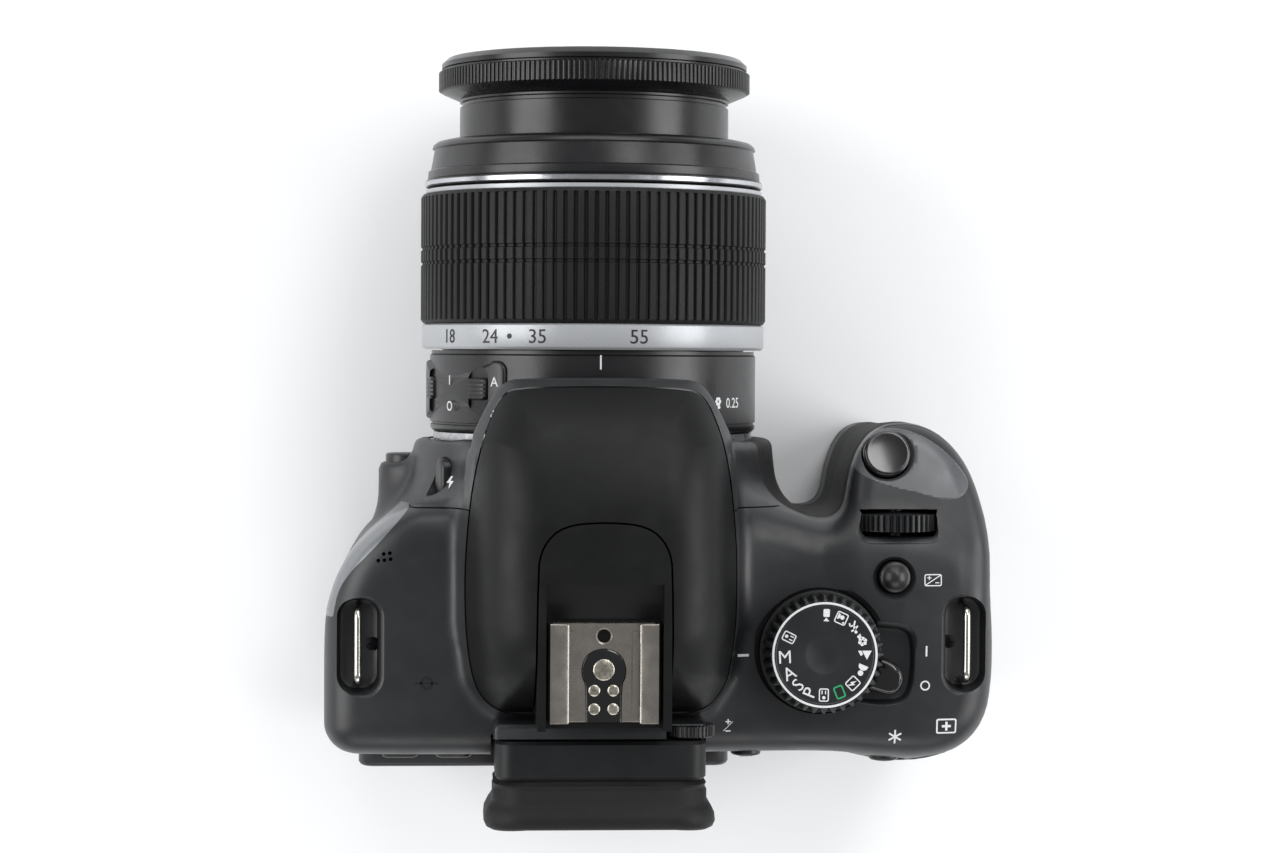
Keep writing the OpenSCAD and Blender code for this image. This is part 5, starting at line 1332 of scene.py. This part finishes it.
def frame_line(w, h, line=0.22):
    """Rectangular line frame."""
    return loop_plate(rounded(w, h, 0.4, 5), rounded(w - 2 * line, h - 2 * line, 0.2, 5))


def stroke(x0, y0, x1, y1, w=0.3):
    """Bar of width w between two points, its section carried along in eight steps to follow a curved skin."""
    d = np.array([x1 - x0, y1 - y0], float)
    d /= np.linalg.norm(d)
    q = np.array([-d[1], d[0]]) * w / 2
    a, b = np.array([x0, y0]), np.array([x1, y1])
    t = np.linspace(0, 1, 9)[:, None]
    run = a + t * (b - a)
    rows = [(run - q, 0), (run - q, PRINT), (run + q, PRINT), (run + q, 0)]
    loops = np.stack([np.column_stack([r, np.full(len(r), z)]) for r, z in rows], 1)
    return tube_mesh(loops)


BOLT = [(0.25, 1.2), (-0.7, -0.1), (-0.1, -0.1), (-0.3, -1.2), (0.7, 0.3), (0.1, 0.3), (0.6, 1.2)]
MOVIE = [plate(rounded(1.5, 1.2, 0.2, 3) + [-0.35, 0]), plate([(0.5, 0), (1.2, 0.55), (1.2, -0.55)])]
PORTRAIT = [disc(0, 0.5, 0.52), plate([(-0.95, -1.1), (0.95, -1.1), (0.8, -0.45), (0.3, -0.1),
                                       (-0.3, -0.1), (-0.8, -0.45)])]
HILLS = [plate([(-1.3, -0.8), (0.5, -0.8), (-0.4, 0.9)]),
         plate([(0.65, -0.8), (1.3, -0.8), (0.75, 0.2), (0.35, -0.1)])]
FLOWER = [disc(0.55 * math.cos(t), 0.3 + 0.55 * math.sin(t), 0.34, 12) for t in ring_points(6)]
FLOWER += [stroke(0, -1.2, 0, -0.3, 0.25), disc(0.35, -0.8, 0.3, 10)]
RUNNER = [disc(0.35, 0.95, 0.3, 12), stroke(0.2, 0.6, -0.2, -0.2, 0.42), stroke(-0.2, -0.2, 0.4, -0.6),
          stroke(0.4, -0.6, 0.1, -1.1), stroke(-0.2, -0.2, -1.0, -0.7), stroke(0.1, 0.45, 0.9, 0.25),
          stroke(0.1, 0.45, -0.7, 0.35)]
NIGHT = [frame_line(2.3, 2.3), disc(-0.2, 0.1, 0.42, 12), disc(0.65, 0.65, 0.2, 8),
         plate([(-0.8, -0.8), (0.4, -0.8), (0.2, -0.35), (-0.6, -0.35)])]
BOXED = [frame_line(2.5, 1.9), disc(-0.5, 0, 0.32, 12), stroke(0.15, 0.35, 0.85, 0.35, 0.2),
         stroke(0.15, -0.3, 0.85, -0.3, 0.2)]
NO_FLASH = [frame_line(2.2, 2.4), plate(np.array(BOLT) * 0.72)]


def laid(parts, place):
    """Moves parts drawn flat (x to the right, y up, z out) to where place puts them, faces outwards."""
    out = []
    for v, faces in parts:
        w = np.stack(place(*np.asarray(v, float).T), -1)
        out.append((w, facing_out(w, faces)))
    return out


def on_cover(x, y, turn=0.0, form=body_form):
    """Lies on the top cover at (x, y), read from the eyecup side, turned anticlockwise."""
    c, s = math.cos(math.radians(turn)), math.sin(math.radians(turn))

    def place(u, v, w):
        px, py = x - (u * c - v * s), y - (u * s + v * c)
        return px, py, drape(px, py, form) + 0.02 + w
    return place


def on_barrel(angle, y, r):
    """Wrapped on the lens at an angle from the top towards +X, read from the eyecup side."""
    def place(u, v, w):
        a = math.radians(angle) - u / r
        return (r + w) * np.sin(a), y - v, AXIS + (r + w) * np.cos(a)
    return place


def on_dial(angle, r=7.55):
    """Lies on the mode dial; the mark reads upright when it is turned to the index on the +X side."""
    a = math.radians(angle)

    def place(u, v, w):
        px = DIAL[0] + (r - u) * math.cos(a) + v * math.sin(a)
        py = DIAL[1] + (r - u) * math.sin(a) - v * math.cos(a)
        return px, py, DIAL_TOP - 0.31 + w
    return place


def on_back(x, z, y):
    """Stands on a face that looks backwards."""
    return lambda u, v, w: (x - u, y + w, z + v)


def ink(name, placed, body, mat, slot=None):
    """One object from many laid parts."""
    verts, faces, start = [], [], 0
    for v, f in placed:
        verts.append(v)
        faces += [np.asarray(b) + start for b in f]
        start += len(v)
    return mesh_piece(name, np.vstack(verts), faces, body, mat, smooth=0, slot=slot)


dial_signs = [(-26, BOXED), (3, [figures("M", 2.5)]), (27, [figures("A", 2.5)]),
              (48, [figures("S", 2.5)]), (68, [figures("P", 2.5)]), (89, BOXED), (135, NO_FLASH),
              (157, PORTRAIT), (180, HILLS), (202, FLOWER), (224, RUNNER), (246, NIGHT), (268, MOVIE)]
ink("dial_signs", [q for a, parts in dial_signs for q in laid(parts, on_dial(a))], "mode_dial", white_ink)
ink("dial_auto_sign", laid([frame_line(2.5, 1.9, 0.3)], on_dial(112)), "mode_dial", green_ink)

ring_sign = loop_plate(circle(0.95, 28), circle(0.68, 28))
grid_sign = [frame_line(4.0, 2.9, 0.3), stroke(-0.9, 0, 0.9, 0, 0.45), stroke(0, -0.85, 0, 0.85, 0.45)]
star = [stroke(-1.35 * math.cos(t), -1.35 * math.sin(t), 1.35 * math.cos(t), 1.35 * math.sin(t), 0.34)
        for t in (math.pi / 2, math.pi / 6, -math.pi / 6)]
speed_sign = [frame_line(3.4, 2.3, 0.2), stroke(-1.5, -0.95, 1.5, 0.95, 0.18),
              stroke(-1.15, 0.45, -0.35, 0.45, 0.18), stroke(-0.75, 0.05, -0.75, 0.85, 0.18),
              stroke(0.4, -0.5, 1.2, -0.5, 0.18)]
signs = laid([stroke(-1.1, 0, 1.1, 0, 0.5)], on_cover(-27.4, 8.9))
signs += laid([stroke(0, -1.0, 0, 1.0, 0.34)], on_cover(-62.6, 8.2)) + laid([ring_sign],
        on_cover(-62.4, 14.8))
signs += laid(speed_sign, on_cover(ISO[0] - 7.4, ISO[1] + 0.6))
signs += laid(star, on_cover(-56.7, 24.6)) + laid(grid_sign, on_cover(-66.6, 22.6))
signs += laid([stroke(-0.5, 0.9, 0.5, 0.9, 0.24), stroke(0, 0.4, 0, 1.4, 0.24),
               stroke(-0.5, -0.9, 0.5, -0.9, 0.24), stroke(-0.9, -0.9, 0.9, 0.9, 0.12)],
              on_cover(-24.6, 22.4))
signs += laid([plate(BOLT)], on_cover(28.3, -23.4))
ink("cover_signs", signs, "body", white_ink)
plane_sign = [loop_plate(circle(1.2, 32), circle(0.82, 32)), stroke(-2.2, 0, 2.2, 0, 0.34)]
ink("sensor_plane_sign", laid(plane_sign, on_cover(32.5, 13.8)), "body", black_ink)

BAND = (ZOOM_BACK + RUBBER_BACK) / 2
scale = [q for a, words in ((56.5, "18"), (37.8, "24"), (20.6, "35"), (-12.2, "55"))
         for q in laid([figures(words, 2.75)], on_barrel(a, BAND, SCALE_R))]
scale += laid([disc(0, 0, 0.5)], on_barrel(30.4, BAND, SCALE_R))
ink("zoom_figures", scale, "zoom", black_ink)
lens_signs = laid([stroke(0, -1.5, 0, 1.2, 0.32)], on_barrel(0, ZOOM_BACK + 2.2, BARREL_R))
lens_signs += laid([figures("0.25", 2.0)], on_barrel(-54, REAR_BACK - 6.2, BARREL_R)) + laid(FLOWER,
        on_barrel(-45.5, REAR_BACK - 6.2, BARREL_R))
for a, y, parts in ((59, -2.4, [figures("A", 1.9)]), (59, 3.4, [figures("M", 1.9)])):
    lens_signs += laid(parts, on_barrel(a - 22, mid_y + y + 1, PLATE_R))
lens_signs += laid([stroke(0, -0.9, 0, 0.9, 0.3)], on_barrel(59, mid_y - 1.6,
                                                             PLATE_R)) + laid([ring_sign],
        on_barrel(59, mid_y + 3.4, PLATE_R))
ink("lens_signs", lens_signs, "body", white_ink)

for node, parts in (("menu_button", [stroke(-1.2, q, 1.2, q, 0.3) for q in (-0.8, 0, 0.8)]),
                    ("display_button", [frame_line(2.6, 1.9, 0.25)]), ("live_view_button", MOVIE),
                    ("exposure_button", [stroke(-1.1, 0.5, 0.1, 0.5, 0.25),
                                         stroke(-0.5, -0.1, -0.5, 1.1, 0.25),
                                         stroke(0.1, -0.7, 1.2, -0.7, 0.25)]),
                    ("playback_button", [plate([(-0.7, -1), (1.0, 0), (-0.7, 1)])]),
                    ("erase_button", [plate([(-0.7, 0.5), (-0.5, -1.1), (0.5, -1.1), (0.7, 0.5)]),
                                      stroke(-1.0, 0.85, 1.0, 0.85, 0.3)])):
    a, b = corner(node, 0), corner(node, 1)
    ink(node.replace("button", "sign"), laid(parts, on_back((a[0] + b[0]) / 2, (a[2] + b[2]) / 2,
                                                            b[1] - 0.02)), node, white_ink)
pad_signs = []
for dx, dz, parts in ((0, 6.9, [plate([(-0.9, -0.6), (0.9, -0.6), (0, 0.9)])]),
                      (0, -6.9, [plate([(-0.9, 0.6), (0, -0.9), (0.9, 0.6)])]),
                      (6.9, 0, [plate([(-0.9, 0), (0.6, -0.9), (0.6, 0.9)])]),
                      (-6.9, 0, [plate([(0.9, 0), (-0.6, 0.9), (-0.6, -0.9)])])):
    pad_signs += laid(parts, on_back(PAD[0] + dx, PAD[1] + dz, pad_face))
ink("pad_signs", pad_signs, "cross_keys", white_ink)

# ---------------------------------------------------------------- camera, floor and light

lo, hi = cad_box
mid = (np.array(lo) + np.array(hi)) / 2


def aim(obj, place, target, up):
    """Looks from a place at a target with a given up direction."""
    z = (Vector(place) - Vector(target)).normalized()
    x = Vector(up).cross(z).normalized()
    obj.matrix_world = Matrix.Translation(place) @ Matrix((x, z.cross(x), z)).transposed().to_4x4()


camera_data = bpy.data.cameras.new("camera")
camera = bpy.data.objects.new("camera", camera_data)
bpy.context.scene.collection.objects.link(camera)
bpy.context.scene.camera = camera
camera_data.lens, camera_data.sensor_width = 81.62, 36
camera_data.clip_start, camera_data.clip_end = 0.02, 10
roll = math.radians(0.35)
aim(camera, (mid[0] + 0.0394, mid[1] - 0.0162, hi[2] + 0.5235), (mid[0] + 0.0003, mid[1] + 0.0001, 0),
    (math.sin(roll), -math.cos(roll), 0))


def lamp(name, place, target, size, power, tint="#ffffff"):
    """A softbox: a white area light that faces its target."""
    data = bpy.data.lights.new(name, "AREA")
    data.shape, data.size, data.size_y, data.energy = "RECTANGLE", size[0], size[1], power
    data.color = colour(tint)[:3]
    obj = bpy.data.objects.new(name, data)
    bpy.context.scene.collection.objects.link(obj)
    aim(obj, place, target, (0, -1, 0.1))
    return obj


target = (mid[0], mid[1], 0.05)
lamp("softbox_left", (0.80, -0.10, 0.55), target, (0.6, 0.9), 7.1)
lamp("softbox_right", (-0.85, -0.02, 0.52), target, (0.5, 0.9), 6.4)
lamp("softbox_front", (-0.05, -1.0, 0.6), target, (1.1, 0.5), 4.2)
lamp("softbox_back", (0.0, 0.95, 0.6), target, (1.2, 0.4), 3.5)
lamp("small_softbox", (-0.30, -0.52, 0.72), (-0.055, -0.029, 0.065), (0.24, 0.3), 1.6)
world = bpy.data.worlds.new("studio_white")
world.use_nodes = True
world.node_tree.nodes["Background"].inputs[0].default_value = colour("#f4f6f8")
world.node_tree.nodes["Background"].inputs[1].default_value = 0.36
bpy.context.scene.world = world
bpy.context.scene.view_settings.view_transform = "Standard"

r = ring_points(96)
floor_mat, tree, shader, coords = finish_material("white_paper_sweep", Roughness=0.9)
tree.links.new(two_tone(tree, grain(tree, coords, 60, 2), "#f6f7f8", "#fbfbfc"), shader.inputs["Base Color"])
sweep = np.stack([np.stack([q * np.cos(r), q * np.sin(r), np.full_like(r, z)], -1) for q,
                  z in ((1400, -3), (1400, -0.05), (700, -0.05), (10, -0.05))])
solid("paper_sweep", sweep, None, floor_mat, "poles", smooth=0)
